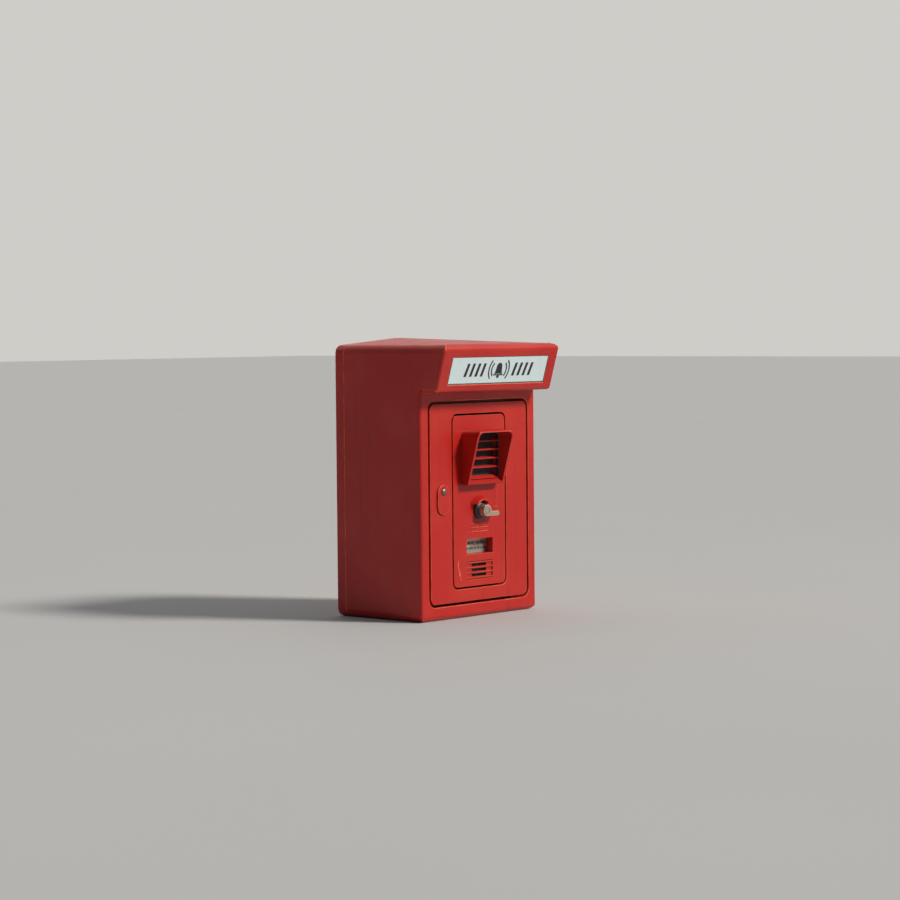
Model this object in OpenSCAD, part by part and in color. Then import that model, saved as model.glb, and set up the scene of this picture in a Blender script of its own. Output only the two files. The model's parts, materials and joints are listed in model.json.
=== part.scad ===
// Wall-mounted street call box: sheet housing with an overhanging lit sign,
// a service door that swings round a fixed operating panel, a loudspeaker hood,
// a call lever, an instruction window and a microphone grille.
// X runs to the right seen from the front, Y into the wall, Z up.
// The origin is the middle of the wall-bolt pattern, on the back face.

/* [Housing] */
// Width of the housing
body_w = 302; // [292:1:370]
// Height of the housing at its side eaves
body_h = 468; // [460:1:570]
// Depth from the wall to the front face
body_d = 196; // [186:1:240]
// Depth of the rear pan that stays on the wall
pan_d = 20; // [16:1:26]
// Thickness of the housing and pan walls
wall = 3; // [2:0.5:3.5]
// Radius of the four long corners, seen from the front
corner_r = 15; // [10:1:18]
// Radius of the upright front edges
edge_r = 6; // [4:0.5:8]
// Radius of the lower front edge
chin_r = 10; // [6:1:14]
// Rise of the roof from the eaves to its peak
roof_rise = 12; // [6:1:18]

/* [Canopy] */
// Height of the canopy's side, from its soffit to the eaves
canopy_h = 80; // [78:1:96]
// How far the canopy's lower edge stands out from the front face
canopy_low = 36; // [30:1:46]
// How far the canopy's upper edge stands out from the front face
canopy_high = 60; // [50:1:70]
// Radius of the canopy's upper front edge
brow_r = 9; // [6:1:12]
// Radius of the canopy's lower front edge
soffit_r = 7; // [4:1:9]

/* [Sign] */
// Width of the sign opening
sign_w = 252; // [210:1:256]
// Height of the sign opening, along the slope
sign_h = 48.5; // [36:0.5:50]
// Middle of the sign above the canopy's lower edge, along the slope
sign_rise = 37.5; // [36:0.5:40]
// Diameter of the lamp tube
tube_d = 16; // [12:1:18]
// Length of the lamp tube
tube_len = 212; // [180:1:240]

/* [Door] */
// Side margin between the housing's edge and the door
door_side = 25; // [24:1:30]
// Margin between the canopy's soffit and the door
door_top = 20; // [18:1:26]
// Margin between the door and the bottom of the housing
door_bottom = 28; // [26:1:36]
// Gap all round the door
door_gap = 5; // [4:0.5:6]
// Corner radius of the door
door_r = 11; // [8:1:14]
// Thickness of the door's skin
skin = 3; // [2:0.5:3]
// Depth of the door's folded edges, from its front
fold_d = 12; // [10:1:13]
// Height of each hinge above or below the door's ends
hinge_inset = 20; // [16:1:40]
// Radius of the hinge pins
hinge_pin_r = 2.5; // [2:0.1:2.8]

/* [Lock] */
// Middle of the lock and its cover, in from the door's free edge
lock_inset = 31; // [28:1:34]
// Height of the cover's rivet above the middle of the door
rivet_rise = 21; // [0:1:60]
// Drop from the rivet to the keyhole
key_drop = 23; // [20:1:26]
// Width of the oval keyhole cover
cover_w = 29; // [24:1:32]
// Height of the oval keyhole cover
cover_h = 51; // [46:1:56]
// Radius of the turning lock plug
plug_r = 8; // [6:0.5:8]
// Reach of the lock's cam from its axis
cam_reach = 31; // [30:0.5:34]

/* [Operating panel] */
// Width of the panel
panel_w = 135; // [128:1:138]
// Margin between the door's upper edge and the panel
panel_top = 21; // [18:1:28]
// Margin between the panel and the door's lower edge
panel_bottom = 25; // [20:1:30]
// Gap all round the panel
panel_gap = 3.5; // [2.5:0.5:4]
// Corner radius of the panel
panel_r = 10; // [8:1:12]
// Thickness of the panel
panel_t = 4; // [3.5:0.5:5]

/* [Loudspeaker] */
// Width and height of the hood
hood_w = 94; // [88:1:100]
// Gap between the panel's upper edge and the hood
hood_drop = 25; // [20:1:30]
// How far the hood's upper edge stands out
hood_high = 42; // [34:1:48]
// How far the hood's lower edge stands out
hood_low = 15; // [12:1:20]
// Thickness of the hood's walls
hood_wall = 4; // [3:0.5:5]
// Number of louvre slats
slat_count = 4; // [3:1:5]
// Radius of the loudspeaker's flange
speaker_r = 38; // [34:1:40]

/* [Lever] */
// Drop from the panel's middle to the lever's axis
lever_drop = 17; // [14:1:20]
// Radius of the lever's hub
hub_r = 10; // [9:0.5:11]
// How far the hub's front stands out from the panel
hub_out = 19; // [17:0.5:24]
// Reach of the arm from the axis
arm_reach = 32; // [28:1:36]
// Thickness of the arm
arm_t = 8; // [6:0.5:9]
// Radius of the lever's shaft
shaft_r = 6; // [5:0.5:6.5]
// Radius of the black bush's flange
bush_r = 15.5; // [14:0.5:16]
// Turn of the lever from rest to its stop
lever_turn = 90; // [60:5:100]

/* [Window and microphone] */
// Drop from the panel's middle to the window's middle
window_drop = 79; // [78:1:82]
// Width of the window
window_w = 69; // [60:1:76]
// Height of the window
window_h = 26; // [22:1:27]
// Depth of the window's recess
window_deep = 15; // [10:1:18]
// Drop from the panel's middle to the grille's middle
mic_drop = 120; // [118:1:122]
// Height of the microphone grille
grille_h = 32; // [28:1:34]
// Length of the sound slots
slot_w = 38; // [30:1:44]
// Height of the sound slots
slot_h = 4.6; // [4:0.1:5]
// Pitch of the sound slots and ribs
slot_pitch = 8.7; // [8.5:0.1:9]

/* [Wall fixing] */
// Spacing of the wall bolts from side to side
bolt_x = 220; // [180:1:230]
// Spacing of the wall bolts from top to bottom
bolt_z = 380; // [340:1:390]
// Radius of the wall-bolt holes
bolt_r = 4.5; // [3:0.1:5.5]
// Radius of the cable's way through the grommet
cable_r = 5; // [3:0.5:7]

/* [Hidden] */
$fn = 64;

// Clearances, one for each sort of fit.
run = 0.05;        // a shaft in its bore, all round
drop_in = 0.1;     // a screw's shank in its hole, all round
seat = 0.3;        // a panel in its opening, or two bodies face to face
over = 1;          // how far a cutting solid runs past what it cuts
lap = 0.5;         // how far two parts of one solid run into each other

// Levels and planes of the housing.
top_z = body_h / 2;
bottom_z = -body_h / 2;
front_y = -body_d;
inside_y = front_y + wall;
seam_y = -pan_d;
canopy_z = top_z - canopy_h;
sign_tilt = atan((canopy_high - canopy_low) / canopy_h);

// Door and its opening.
door_w = body_w - 2 * door_side;
door_z1 = canopy_z - door_top;
door_z0 = bottom_z + door_bottom;
door_h = door_z1 - door_z0;
door_z = (door_z0 + door_z1) / 2;
door_x = door_w / 2;
fold_t = 2;
fold_y = front_y + fold_d;
skin_y = front_y + skin;

// The frame behind the gap, with the lip that the door shuts on.
frame_t = 2;
lip_w = 12;
lip_y = front_y + 23;
gasket_w = 4;

// Hinge axis, set so that the door's edge turns clear of the housing.
hinge_x = door_x - 9;
hinge_y = front_y + 8;
hinge_t = 4;
lug_h = 6;
lug_r = 4.4;
arm_left = 5;
arm_right = 1.5;
arm_back = 18;
foot_d = 16;
foot_h = 30;
hinge_levels = [door_z1 - hinge_inset, door_z0 + hinge_inset];
wall_x = body_w / 2 - wall;

// Lock.
lock_x = -door_x + lock_inset;
rivet_z = door_z + rivet_rise;
key_z = rivet_z - key_drop;
rivet_r = 2.5;
rivet_head_r = 6;
cover_t = 2.5;
cover_y = front_y - seat;
cam_t = 3;
cam_y = lip_y + frame_t + seat + 0.5;

// Operating panel.
panel_z1 = door_z1 - panel_top;
panel_z0 = door_z0 + panel_bottom;
panel_h = panel_z1 - panel_z0;
panel_z = (panel_z0 + panel_z1) / 2;
panel_back = front_y + panel_t;

// Chassis tube behind the panel.
chassis_t = 2;
chassis_w = panel_w - 2;
chassis_h = panel_h - 2;
chassis_x = chassis_w / 2 - chassis_t;
chassis_bottom = panel_z - chassis_h / 2 + chassis_t;
chassis_front = front_y + fold_d;
tab = 20;
stud_x = chassis_w / 2 - tab / 2 - 2;
stud_z = chassis_h / 2 - tab / 2 - 2;
stud_r = 2.5;
nut_r = 5;
nut_t = 4;
flange_w = 16;
foot_stud_x = chassis_w / 2 + flange_w / 2;
foot_stud_z = panel_h / 2 - 34;

// Loudspeaker.
hood_z1 = panel_z1 - hood_drop;
hood_z0 = hood_z1 - hood_w;
hood_z = (hood_z0 + hood_z1) / 2;
hood_in = hood_w - 2 * hood_wall;
sill_h = 15;
slat_depth = 10;
slat_t = 1.6;
slat_tilt = 12;
slat_pitch = (hood_in - sill_h + hood_wall) / (slat_count + 1);
slats = [for (i = [1 : slat_count]) hood_z1 - hood_wall - i * slat_pitch];
mouth_w = hood_in - 2;
mouth_z0 = hood_z0 + sill_h;
mouth_z1 = hood_z1 - hood_wall;
baffle_w = hood_w + 4;
baffle_h = hood_w - 2;
gauze_t = 0.8;
baffle_t = 2;
gauze_y = panel_back + gauze_t;
baffle_y = gauze_y + baffle_t;
speaker_z = (mouth_z0 + mouth_z1) / 2;
speaker_flange_t = 2;
basket_d = 18;
magnet_r = speaker_r * 0.58;
magnet_d = 14;
rim_w = 4;

// Lever.
lever_z = panel_z - lever_drop;
hub_back = front_y - 7.5;
hub_front = front_y - hub_out;
cap_t = 4.5;
recess_d = 2.5;
bush_out = 7;
bush_in_r = shaft_r + 3.5;
cam_disc_r = 18;
cam_disc_t = 5;
slot_ring = 12.5;
pin_r = 2;
pin_angle = 45;
bracket_y = front_y + 46;
bracket_t = 3;
bracket_h = 26;
disc_y = bracket_y - 5;

// Window and grille.
window_z = panel_z - window_drop;
window_back = front_y + window_deep;
pane_t = 2;
card_t = 0.6;
mic_z = panel_z - mic_drop;
grille_deep = 2.5;
rib_h = 1.8;

// Fixings.
post_x = body_w / 2 - 18;
post_z = body_h / 2 - 18;
post_r = 8;
lug_t = 3;
screw_r = 2;

// ---------------------------------------------------------------- outlines

// A rectangle with round corners, its middle at the origin.
module round_rect(w, h, r) {
    square([w - 2 * r, h], center = true);
    square([w, h - 2 * r], center = true);
    for (x = [-1, 1], y = [-1, 1]) translate([x * (w / 2 - r), y * (h / 2 - r)]) circle(r);
}

// A flat ring between two such rectangles.
module round_ring(w, h, r, t) {
    difference() {
        round_rect(w, h, r);
        round_rect(w - 2 * t, h - 2 * t, max(r - t, 1));
    }
}

function unit(v) = v / norm(v);
function before(p, i) = p[(i + len(p) - 1) % len(p)];
function after(p, i) = p[(i + 1) % len(p)];
function half_angle(p, i) = acos(unit(before(p, i) - p[i]) * unit(after(p, i) - p[i])) / 2;
function arc_middle(p, i, r) =
    p[i] + unit(unit(before(p, i) - p[i]) + unit(after(p, i) - p[i])) * r / sin(half_angle(p, i));
function arc_ends(p, i, r) = let (t = r / tan(half_angle(p, i)))
    [p[i] + unit(before(p, i) - p[i]) * t, p[i] + unit(after(p, i) - p[i]) * t];

// A convex outline whose corners have the given radii; 0 leaves a corner sharp.
module round_outline(p, radii) {
    polygon([for (i = [0 : len(p) - 1]) each radii[i] > 0 ? arc_ends(p, i, radii[i]) : [p[i]]]);
    for (i = [0 : len(p) - 1]) if (radii[i] > 0) translate(arc_middle(p, i, radii[i])) circle(radii[i]);
}

// Flat shapes drawn out along one axis between two places.
module along_x(x0, x1) { translate([x0, 0, 0]) rotate([90, 0, 90]) linear_extrude(x1 - x0) children(); }
module along_y(y0, y1) { translate([0, y1, 0]) rotate([90, 0, 0]) linear_extrude(y1 - y0) children(); }
module along_z(z0, z1) { translate([0, 0, z0]) linear_extrude(z1 - z0) children(); }
module rod_x(r, x0, x1) { translate([x0, 0, 0]) rotate([0, 90, 0]) cylinder(r = r, h = x1 - x0); }
module rod_y(r, y0, y1) { translate([0, y1, 0]) rotate([90, 0, 0]) cylinder(r = r, h = y1 - y0); }
module rod_z(r, z0, z1) { translate([0, 0, z0]) cylinder(r = r, h = z1 - z0); }

// The four places x either side and z above and below.
module at_corners(x, z) { for (i = [-1, 1], j = [-1, 1]) translate([i * x, 0, j * z]) children(); }

// A block between two corners.
module block(a, b) { translate(a) cube(b - a); }

// A six-sided nut along Y with a round hole.
module nut(r, hole, y0, y1) {
    difference() {
        translate([0, y1, 0]) rotate([90, 0, 0]) cylinder(r = r, h = y1 - y0, $fn = 6);
        rod_y(hole, y0 - over, y1 + over);
    }
}

// A pan-head screw along Y, its head's underside at y and its shank running to the tip.
module screw(head_r, head_h, shank_r, y, tip) {
    difference() {
        rod_y(head_r, y - head_h, y);
        block([-head_r, y - head_h - over, -0.5], [head_r, y - head_h + 0.8, 0.5]);
    }
    rod_y(shank_r, y - lap, tip);
}

// ------------------------------------------------------- the housing's form

// Seen from the front: upright sides and a low gable, drawn in by inset i.
module front_outline(i) {
    x = body_w / 2 - i;
    r = corner_r - i;
    round_outline([[-x, bottom_z + i], [x, bottom_z + i], [x, top_z - i],
        [0, top_z + roof_rise - i], [-x, top_z - i]], [r, r, r, 0, r]);
}

// Seen from the side: the body, the soffit, the canopy's slope and the roof's fall, drawn in by i
// and running back to y.
module side_outline(i, y) {
    lean = tan(sign_tilt);
    face = front_y - canopy_low + i / cos(sign_tilt);
    high = face - (canopy_h - i) * lean;
    eaves = front_y - canopy_high;
    roof_at_y = top_z + roof_rise * (y - eaves) / (seam_y - eaves) - i;
    round_outline([[y, bottom_z + i], [front_y + i, bottom_z + i], [front_y + i, canopy_z + i],
        [face - i * lean, canopy_z + i], [high, top_z - i], [y, roof_at_y]],
        [0, chin_r - i, 0, soffit_r - i, brow_r - i, 0]);
}

// The place of the canopy's front face: local Z runs up the slope, local Y into it.
module on_slope() { translate([0, front_y - canopy_low, canopy_z]) rotate([sign_tilt, 0, 0]) children(); }

// What is cut away outside a round edge, for an edge at the origin with its solid at -X and +Y.
// The arc is a hair larger than the edge's radius, so that it crosses both faces cleanly.
module edge_waste(r) {
    difference() {
        translate([-r, -over]) square([r + over, r + over]);
        translate([-r, r]) circle(r + 0.02);
    }
}

// The housing's form, drawn in by i and running back to y, with its upright front edges rounded.
module shell_form(i, y) {
    x = body_w / 2 - i;
    far = 2 * body_d;
    difference() {
        intersection() {
            along_x(-x - over, x + over) side_outline(i, y);
            along_y(-far, y + over) front_outline(i);
        }
        for (s = [0, 1]) mirror([s, 0, 0]) {
            along_z(bottom_z - over, canopy_z + i) translate([x, front_y + i]) edge_waste(edge_r - i);
            on_slope() along_z(-soffit_r, canopy_h + brow_r) translate([x, i]) edge_waste(edge_r - i);
        }
    }
}

// ------------------------------------------------------------ rear and shell

module rear_pan() {
    color("firebrick") difference() {
        union() {
            along_y(seam_y, 0) difference() {
                front_outline(0);
                front_outline(wall);
            }
            along_y(-wall, 0) front_outline(wall - lap);
            at_corners(post_x, post_z)
                rod_y(post_r, seam_y - lug_t, -wall + lap);
            translate([0, 0, panel_z]) at_corners(foot_stud_x, foot_stud_z)
                rod_y(stud_r, -wall - chassis_t - nut_t - 2, -wall + lap);
        }
        at_corners(post_x, post_z)
            rod_y(screw_r + drop_in, seam_y - lug_t - over, -wall - 4);
        at_corners(bolt_x / 2, bolt_z / 2)
            rod_y(bolt_r, -wall - over, over);
        translate([grommet_x, 0, grommet_z]) rod_y(grommet_r + drop_in, -wall - over, over);
    }
}

module housing() {
    color("firebrick") difference() {
        union() {
            difference() {
                shell_form(0, seam_y);
                shell_form(wall, seam_y + over);
            }
            // Corner lugs that the housing is screwed on by, from inside.
            for (x = [-1, 1], z = [-1, 1]) intersection() {
                along_y(seam_y - 2 * lug_t, seam_y - lug_t) front_outline(wall - lap);
                translate([x * post_x, 0, z * post_z]) rotate([90, 0, 0])
                    cube([2 * post_r + 20, 2 * post_r + 20, 2 * body_d], center = true);
            }
            // Bosses for the sign's retainer.
            at_sign() at_corners(sign_screw_x, sign_screw_z) rod_y(4, wall - lap, sign_seat);
            // Pads that the hinge brackets are screwed to.
            for (z = hinge_levels) block([wall_x - pad_t, pad_y0, z - foot_h / 2],
                [wall_x + lap, pad_y0 + foot_d, z + foot_h / 2]);
        }
        translate([0, 0, door_z]) along_y(front_y - over, inside_y + over)
            round_rect(door_w + 2 * door_gap, door_h + 2 * door_gap, door_r + door_gap);
        at_corners(post_x, post_z)
            rod_y(screw_r + drop_in, seam_y - 2 * lug_t - over, seam_y);
        at_sign() along_y(-over - 2, wall + over) round_rect(sign_w, sign_h, 2);
        at_sign() at_corners(sign_screw_x, sign_screw_z)
            rod_y(sign_screw_r + drop_in, wall, sign_seat + over);
        for (z = hinge_levels) hinge_screw_places(z) rod_x(screw_r + drop_in, -pad_t - over, over);
    }
}

module housing_screws() {
    color("silver") at_corners(post_x, post_z)
        screw(4.5, 3.5, screw_r, seam_y - 2 * lug_t, -wall - 5);
}

module door_frame() {
    w = door_w + 2 * door_gap;
    h = door_h + 2 * door_gap;
    r = door_r + door_gap;
    color("firebrick") translate([0, 0, door_z]) difference() {
        union() {
            along_y(inside_y, lip_y + frame_t)
                round_ring(w + 2 * frame_t, h + 2 * frame_t, r + frame_t, frame_t);
            along_y(lip_y, lip_y + frame_t) round_ring(w + frame_t, h + frame_t, r + frame_t / 2, lip_w);
        }
        // No lip on the hinge side, where the hinge arms pass and the door's fold swings in.
        block([w / 2 - 2 * lip_w - 6, lip_y - over, -h / 2 + lip_w],
            [w / 2, lip_y + frame_t + over, h / 2 - lip_w]);
    }
}

module door_gasket() {
    w = door_w - 1;
    h = door_h - 1;
    color("dimgray") translate([0, 0, door_z]) difference() {
        along_y(fold_y + seat, lip_y) round_ring(w, h, door_r - 0.5, gasket_w);
        // The hinge side stays open, where the door's fold swings in.
        block([hinge_x - 8, fold_y, -h / 2 - over], [w / 2 + over, lip_y + over, h / 2 + over]);
    }
}

// ------------------------------------------------------------------- hinges

pad_t = 3;
pad_y0 = hinge_y + arm_back;
foot_t = 3;

// The two screw places of one hinge foot, as a place on the pad's inner face.
module hinge_screw_places(z) {
    for (s = [-1, 1]) translate([wall_x, pad_y0 + foot_d / 2, z + s * foot_h / 3]) children();
}

// A gooseneck plate: round the pin, straight back, then across to the side wall.
module gooseneck() {
    reach = wall_x - pad_t - hinge_x;
    difference() {
        union() {
            circle(lug_r);
            translate([-arm_left, 0]) square([arm_left + arm_right, arm_back + foot_d]);
            translate([-arm_left, arm_back]) square([arm_left + reach, foot_d]);
        }
        circle(hinge_pin_r + drop_in / 5);
    }
}

module hinge_brackets() {
    color("gray") for (z = hinge_levels) {
        translate([hinge_x, hinge_y, 0]) along_z(z - hinge_t / 2, z + hinge_t / 2) gooseneck();
        difference() {
            block([wall_x - pad_t - foot_t, pad_y0, z - foot_h / 2],
                [wall_x - pad_t, pad_y0 + foot_d, z + foot_h / 2]);
            hinge_screw_places(z) rod_x(screw_r + drop_in, -pad_t - foot_t - over, 0);
        }
    }
}

module hinge_screws() {
    color("silver") for (z = hinge_levels) hinge_screw_places(z) {
        rod_x(3.8, -pad_t - foot_t - 2.5, -pad_t - foot_t);
        rod_x(screw_r, -pad_t - foot_t - lap, 0);
    }
}

module hinge_pins() {
    color("silver") for (z = hinge_levels) translate([hinge_x, hinge_y, 0]) {
        rod_z(hinge_pin_r, z - hinge_t / 2 - lap, z + hinge_t / 2 + seat + lug_h + 1);
        rod_z(hinge_pin_r + 1.4, z - hinge_t / 2 - 2, z - hinge_t / 2);
    }
}

// --------------------------------------------------------- sign and its lamp

sign_gasket_t = 0.8;
sign_flange_t = 2;
sign_seat = wall + sign_gasket_t + sign_flange_t;
sign_lap = 5;
sign_screw_r = 1.2;
sign_screw_x = sign_w / 2 + sign_lap + 3.5;
sign_screw_z = sign_h / 2 - 1;
retainer_t = 2;

module at_sign() { on_slope() translate([0, 0, sign_rise]) children(); }

module sign_panel() {
    color("aliceblue") at_sign() {
        along_y(0.6, sign_seat - lap) round_rect(sign_w - 2 * seat, sign_h - 2 * seat, 1.7);
        along_y(wall + sign_gasket_t, sign_seat)
            round_rect(sign_w + 2 * sign_lap - 1, sign_h + 2 * sign_lap - 1, 3);
    }
}

module sign_gasket() {
    color("dimgray") at_sign() along_y(wall, wall + sign_gasket_t) difference() {
        round_rect(sign_w + 2 * sign_lap - 2, sign_h + 2 * sign_lap - 2, 3);
        round_rect(sign_w + 1, sign_h + 1, 2);
    }
}

module sign_retainer() {
    color("silver") at_sign() difference() {
        along_y(sign_seat, sign_seat + retainer_t)
            round_ring(2 * sign_screw_x + 10, sign_h + 2 * sign_lap + 2, 4, 2 * sign_lap + 6);
        at_corners(sign_screw_x, sign_screw_z)
            rod_y(sign_screw_r + drop_in, sign_seat - over, sign_seat + retainer_t + over);
    }
}

module sign_screws() {
    color("silver") at_sign() at_corners(sign_screw_x, sign_screw_z) {
        rod_y(2.6, sign_seat + retainer_t, sign_seat + retainer_t + 2);
        rod_y(sign_screw_r, wall + 0.6, sign_seat + retainer_t + lap);
    }
}

lamp_y = front_y - 12;
lamp_z = canopy_z + canopy_h * 0.54;
reflector_y = lamp_y + 17;
reflector_t = 1.5;
holder_w = 12;
tube_pin_r = 1.1;
tube_pin_len = 6;
pin_gap = 2.5;
reflector_w = tube_len + 2 * holder_w + 6;

module lamp_tube() {
    color("white") translate([0, lamp_y, lamp_z]) {
        rod_x(tube_d / 2, -tube_len / 2, tube_len / 2);
        for (s = [0, 1], z = [-1, 1]) mirror([s, 0, 0]) translate([0, 0, z * pin_gap])
            rod_x(tube_pin_r, tube_len / 2 - lap, tube_len / 2 + tube_pin_len);
    }
}

module lamp_holders() {
    color("ivory") for (s = [0, 1]) mirror([s, 0, 0]) difference() {
        block([tube_len / 2, lamp_y - 9, lamp_z - 11], [tube_len / 2 + holder_w, reflector_y, lamp_z + 11]);
        for (z = [-1, 1]) translate([0, lamp_y, lamp_z + z * pin_gap])
            rod_x(tube_pin_r + drop_in, 0, tube_len / 2 + tube_pin_len + over);
    }
}

module lamp_reflector() {
    color("white") along_x(-reflector_w / 2, reflector_w / 2) polygon([
        [lamp_y - 14, canopy_z + wall], [reflector_y + reflector_t, canopy_z + wall],
        [reflector_y + reflector_t, top_z - 14], [reflector_y - 22, top_z - 8],
        [reflector_y - 22, top_z - 8 - reflector_t], [reflector_y, top_z - 14 - reflector_t],
        [reflector_y, canopy_z + wall + reflector_t], [lamp_y - 14, canopy_z + wall + reflector_t]]);
}

module lamp_ballast() {
    color("dimgray") {
        block([-38, reflector_y + reflector_t, lamp_z - 13],
            [38, reflector_y + reflector_t + 26, lamp_z + 13]);
        for (s = [-1, 1]) block([s * 44 - 7, reflector_y + reflector_t, lamp_z - 9],
            [s * 44 + 7, reflector_y + reflector_t + 2, lamp_z + 9]);
    }
}

// ---------------------------------------------------- chassis and the panel

module at_studs() {
    translate([0, 0, panel_z]) at_corners(stud_x, stud_z) children();
}

module chassis() {
    color("lightgray") difference() {
        union() {
            translate([0, 0, panel_z]) along_y(chassis_front, -wall)
                round_ring(chassis_w, chassis_h, 9, chassis_t);
            // Corner tabs that the panel's studs pass through.
            for (x = [-1, 1], z = [-1, 1]) intersection() {
                translate([0, 0, panel_z]) along_y(chassis_front, chassis_front + chassis_t)
                    round_rect(chassis_w - lap, chassis_h - lap, 9);
                translate([x * stud_x, chassis_front, panel_z + z * stud_z])
                    cube([tab + 4, 4 * chassis_t, tab + 4], center = true);
            }
            // Rear flanges that stand on the pan.
            for (s = [0, 1]) mirror([s, 0, 0])
                block([chassis_w / 2 - lap, -wall - chassis_t, panel_z0 + 16],
                    [chassis_w / 2 + flange_w, -wall, panel_z1 - 16]);
        }
        at_studs() rod_y(stud_r + drop_in, chassis_front - over, chassis_front + 2 * chassis_t);
        translate([0, 0, panel_z]) at_corners(foot_stud_x, foot_stud_z)
            rod_y(stud_r + drop_in, -wall - chassis_t - over, -wall + over);
    }
}

module chassis_nuts() {
    color("silver") translate([0, 0, panel_z]) at_corners(foot_stud_x, foot_stud_z)
        nut(nut_r, stud_r + drop_in / 2, -wall - chassis_t - nut_t, -wall - chassis_t);
}

module panel_nuts() {
    color("silver") at_studs()
        nut(nut_r, stud_r + drop_in / 2, chassis_front + chassis_t, chassis_front + chassis_t + nut_t);
}

// Raised bars in place of a legend, and a raised mark beside the lever.
module panel_marks() {
    lift = 0.8;
    bar_w = 47;
    for (i = [0 : 2], s = [-1, 1]) translate([s * bar_w / 4, 0, legend_z + (1 - i) * 7])
        along_y(front_y - lift, front_y + lap) round_rect(bar_w / 2 - 3, 3.6, 1.2);
    translate([mark_x, 0, lever_z + 14]) {
        along_y(front_y - lift, front_y + lap) square([2.4, 24], center = true);
        along_y(front_y - lift, front_y + lap) polygon([[-4.5, -10], [4.5, -10], [0, -18]]);
        for (z = [18, -24]) translate([0, 0, z]) rod_y(2, front_y - lift, front_y + lap);
    }
}

legend_z = lever_z - 31;
mark_x = 44;

module control_panel() {
    color("firebrick") difference() {
        union() {
            translate([0, 0, panel_z]) {
                along_y(front_y, panel_back) round_rect(panel_w, panel_h, panel_r);
                along_y(panel_back - lap, chassis_front) round_ring(panel_w, panel_h, panel_r, 2);
            }
            at_studs() rod_y(stud_r, panel_back - lap, chassis_front + chassis_t + nut_t + 2);
            translate([0, 0, window_z]) along_y(panel_back - lap, window_back)
                round_rect(window_w + 5, window_h + 5, 3);
            panel_marks();
        }
        translate([0, 0, (mouth_z0 + mouth_z1) / 2]) along_y(front_y - over, panel_back + over)
            round_rect(mouth_w, mouth_z1 - mouth_z0, 8);
        translate([0, 0, lever_z]) rod_y(bush_in_r + drop_in, front_y - over, panel_back + over);
        translate([0, 0, window_z]) along_y(front_y - over, window_back + over)
            round_rect(window_w, window_h, 1.2);
        grille_cut();
        translate([0, 0, speaker_z]) at_corners(speaker_screw_x, speaker_screw_z)
            rod_y(speaker_screw_r + drop_in, panel_back - 2.5, panel_back + over);
        for (s = [-1, 1]) translate([s * card_screw_x, 0, window_z])
            rod_y(card_screw_r + drop_in, panel_back - 2.5, panel_back + over);
    }
}

// The microphone's recess: ribs left standing across it, and slots through its floor.
module grille_cut() {
    bands = [-1.5, -0.5, 0.5, 1.5];
    difference() {
        translate([0, 0, mic_z]) along_y(front_y - over, front_y + grille_deep)
            round_rect(window_w, grille_h, 1.5);
        for (b = bands) translate([0, 0, mic_z + b * slot_pitch])
            along_y(front_y, front_y + grille_deep + over) square([window_w + 2, rib_h], center = true);
    }
    for (b = [-1, 0, 1]) translate([0, 0, mic_z + b * slot_pitch])
        along_y(front_y, panel_back + over) round_rect(slot_w, slot_h, 1);
}

// -------------------------------------------------------------- loudspeaker

module hood_side(i) {
    slope = (hood_high - hood_low) / hood_w;
    round_outline([[front_y, hood_z0 + i], [front_y - hood_low - i * slope, hood_z0 + i],
        [front_y - hood_high + i * slope, hood_z1 - i], [front_y, hood_z1 - i]], [0, 3, 6, 0]);
}

module speaker_hood() {
    color("firebrick") {
        difference() {
            intersection() {
                along_x(-hood_w / 2, hood_w / 2) hood_side(0);
                translate([0, 0, hood_z]) along_y(front_y - hood_high - over, front_y)
                    round_outline([[-hood_w / 2, -hood_w / 2], [hood_w / 2, -hood_w / 2],
                        [hood_w / 2, hood_w / 2], [-hood_w / 2, hood_w / 2]], [4, 4, 14, 14]);
            }
            translate([0, 0, hood_z]) along_y(front_y - hood_high - over, front_y + over)
                round_outline([[-hood_in / 2, -hood_in / 2], [hood_in / 2, -hood_in / 2],
                    [hood_in / 2, hood_in / 2], [-hood_in / 2, hood_in / 2]], [2, 2, 10, 10]);
        }
        along_x(-hood_in / 2 - lap, hood_in / 2 + lap) polygon([[front_y, hood_z0 + hood_wall - lap],
            [front_y, mouth_z0], [front_y - 2, mouth_z0],
            [front_y - hood_low + 2, hood_z0 + hood_wall + 1],
            [front_y - hood_low + 2, hood_z0 + hood_wall - lap]]);
    }
}

module louvre_slats() {
    color("firebrick") for (z = slats) translate([0, front_y - slat_depth / 2, z]) rotate([slat_tilt, 0, 0])
        cube([hood_in - 0.2, slat_depth * 0.96, slat_t], center = true);
}

module speaker_gauze() {
    color("black") translate([0, 0, speaker_z]) along_y(panel_back, gauze_y) difference() {
        round_rect(baffle_w, baffle_h, 4);
        for (x = [-1, 1], z = [-1, 1]) translate([x * speaker_screw_x, z * speaker_screw_z])
            circle(speaker_screw_r + drop_in);
    }
}

speaker_screw_x = baffle_w / 2 - 4;
speaker_screw_z = baffle_h / 2 - 4;
speaker_screw_r = 1.5;

module speaker_baffle() {
    color("dimgray") translate([0, 0, speaker_z]) along_y(gauze_y, baffle_y) difference() {
        round_rect(baffle_w, baffle_h, 4);
        circle(speaker_r - rim_w);
        for (x = [-1, 1], z = [-1, 1]) translate([x * speaker_screw_x, z * speaker_screw_z])
            circle(speaker_screw_r + drop_in);
    }
}

module speaker_screws() {
    color("silver") translate([0, 0, speaker_z]) at_corners(speaker_screw_x, speaker_screw_z) {
        rod_y(3, baffle_y, baffle_y + 2);
        rod_y(speaker_screw_r, panel_back - 2, baffle_y + lap);
    }
}

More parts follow.
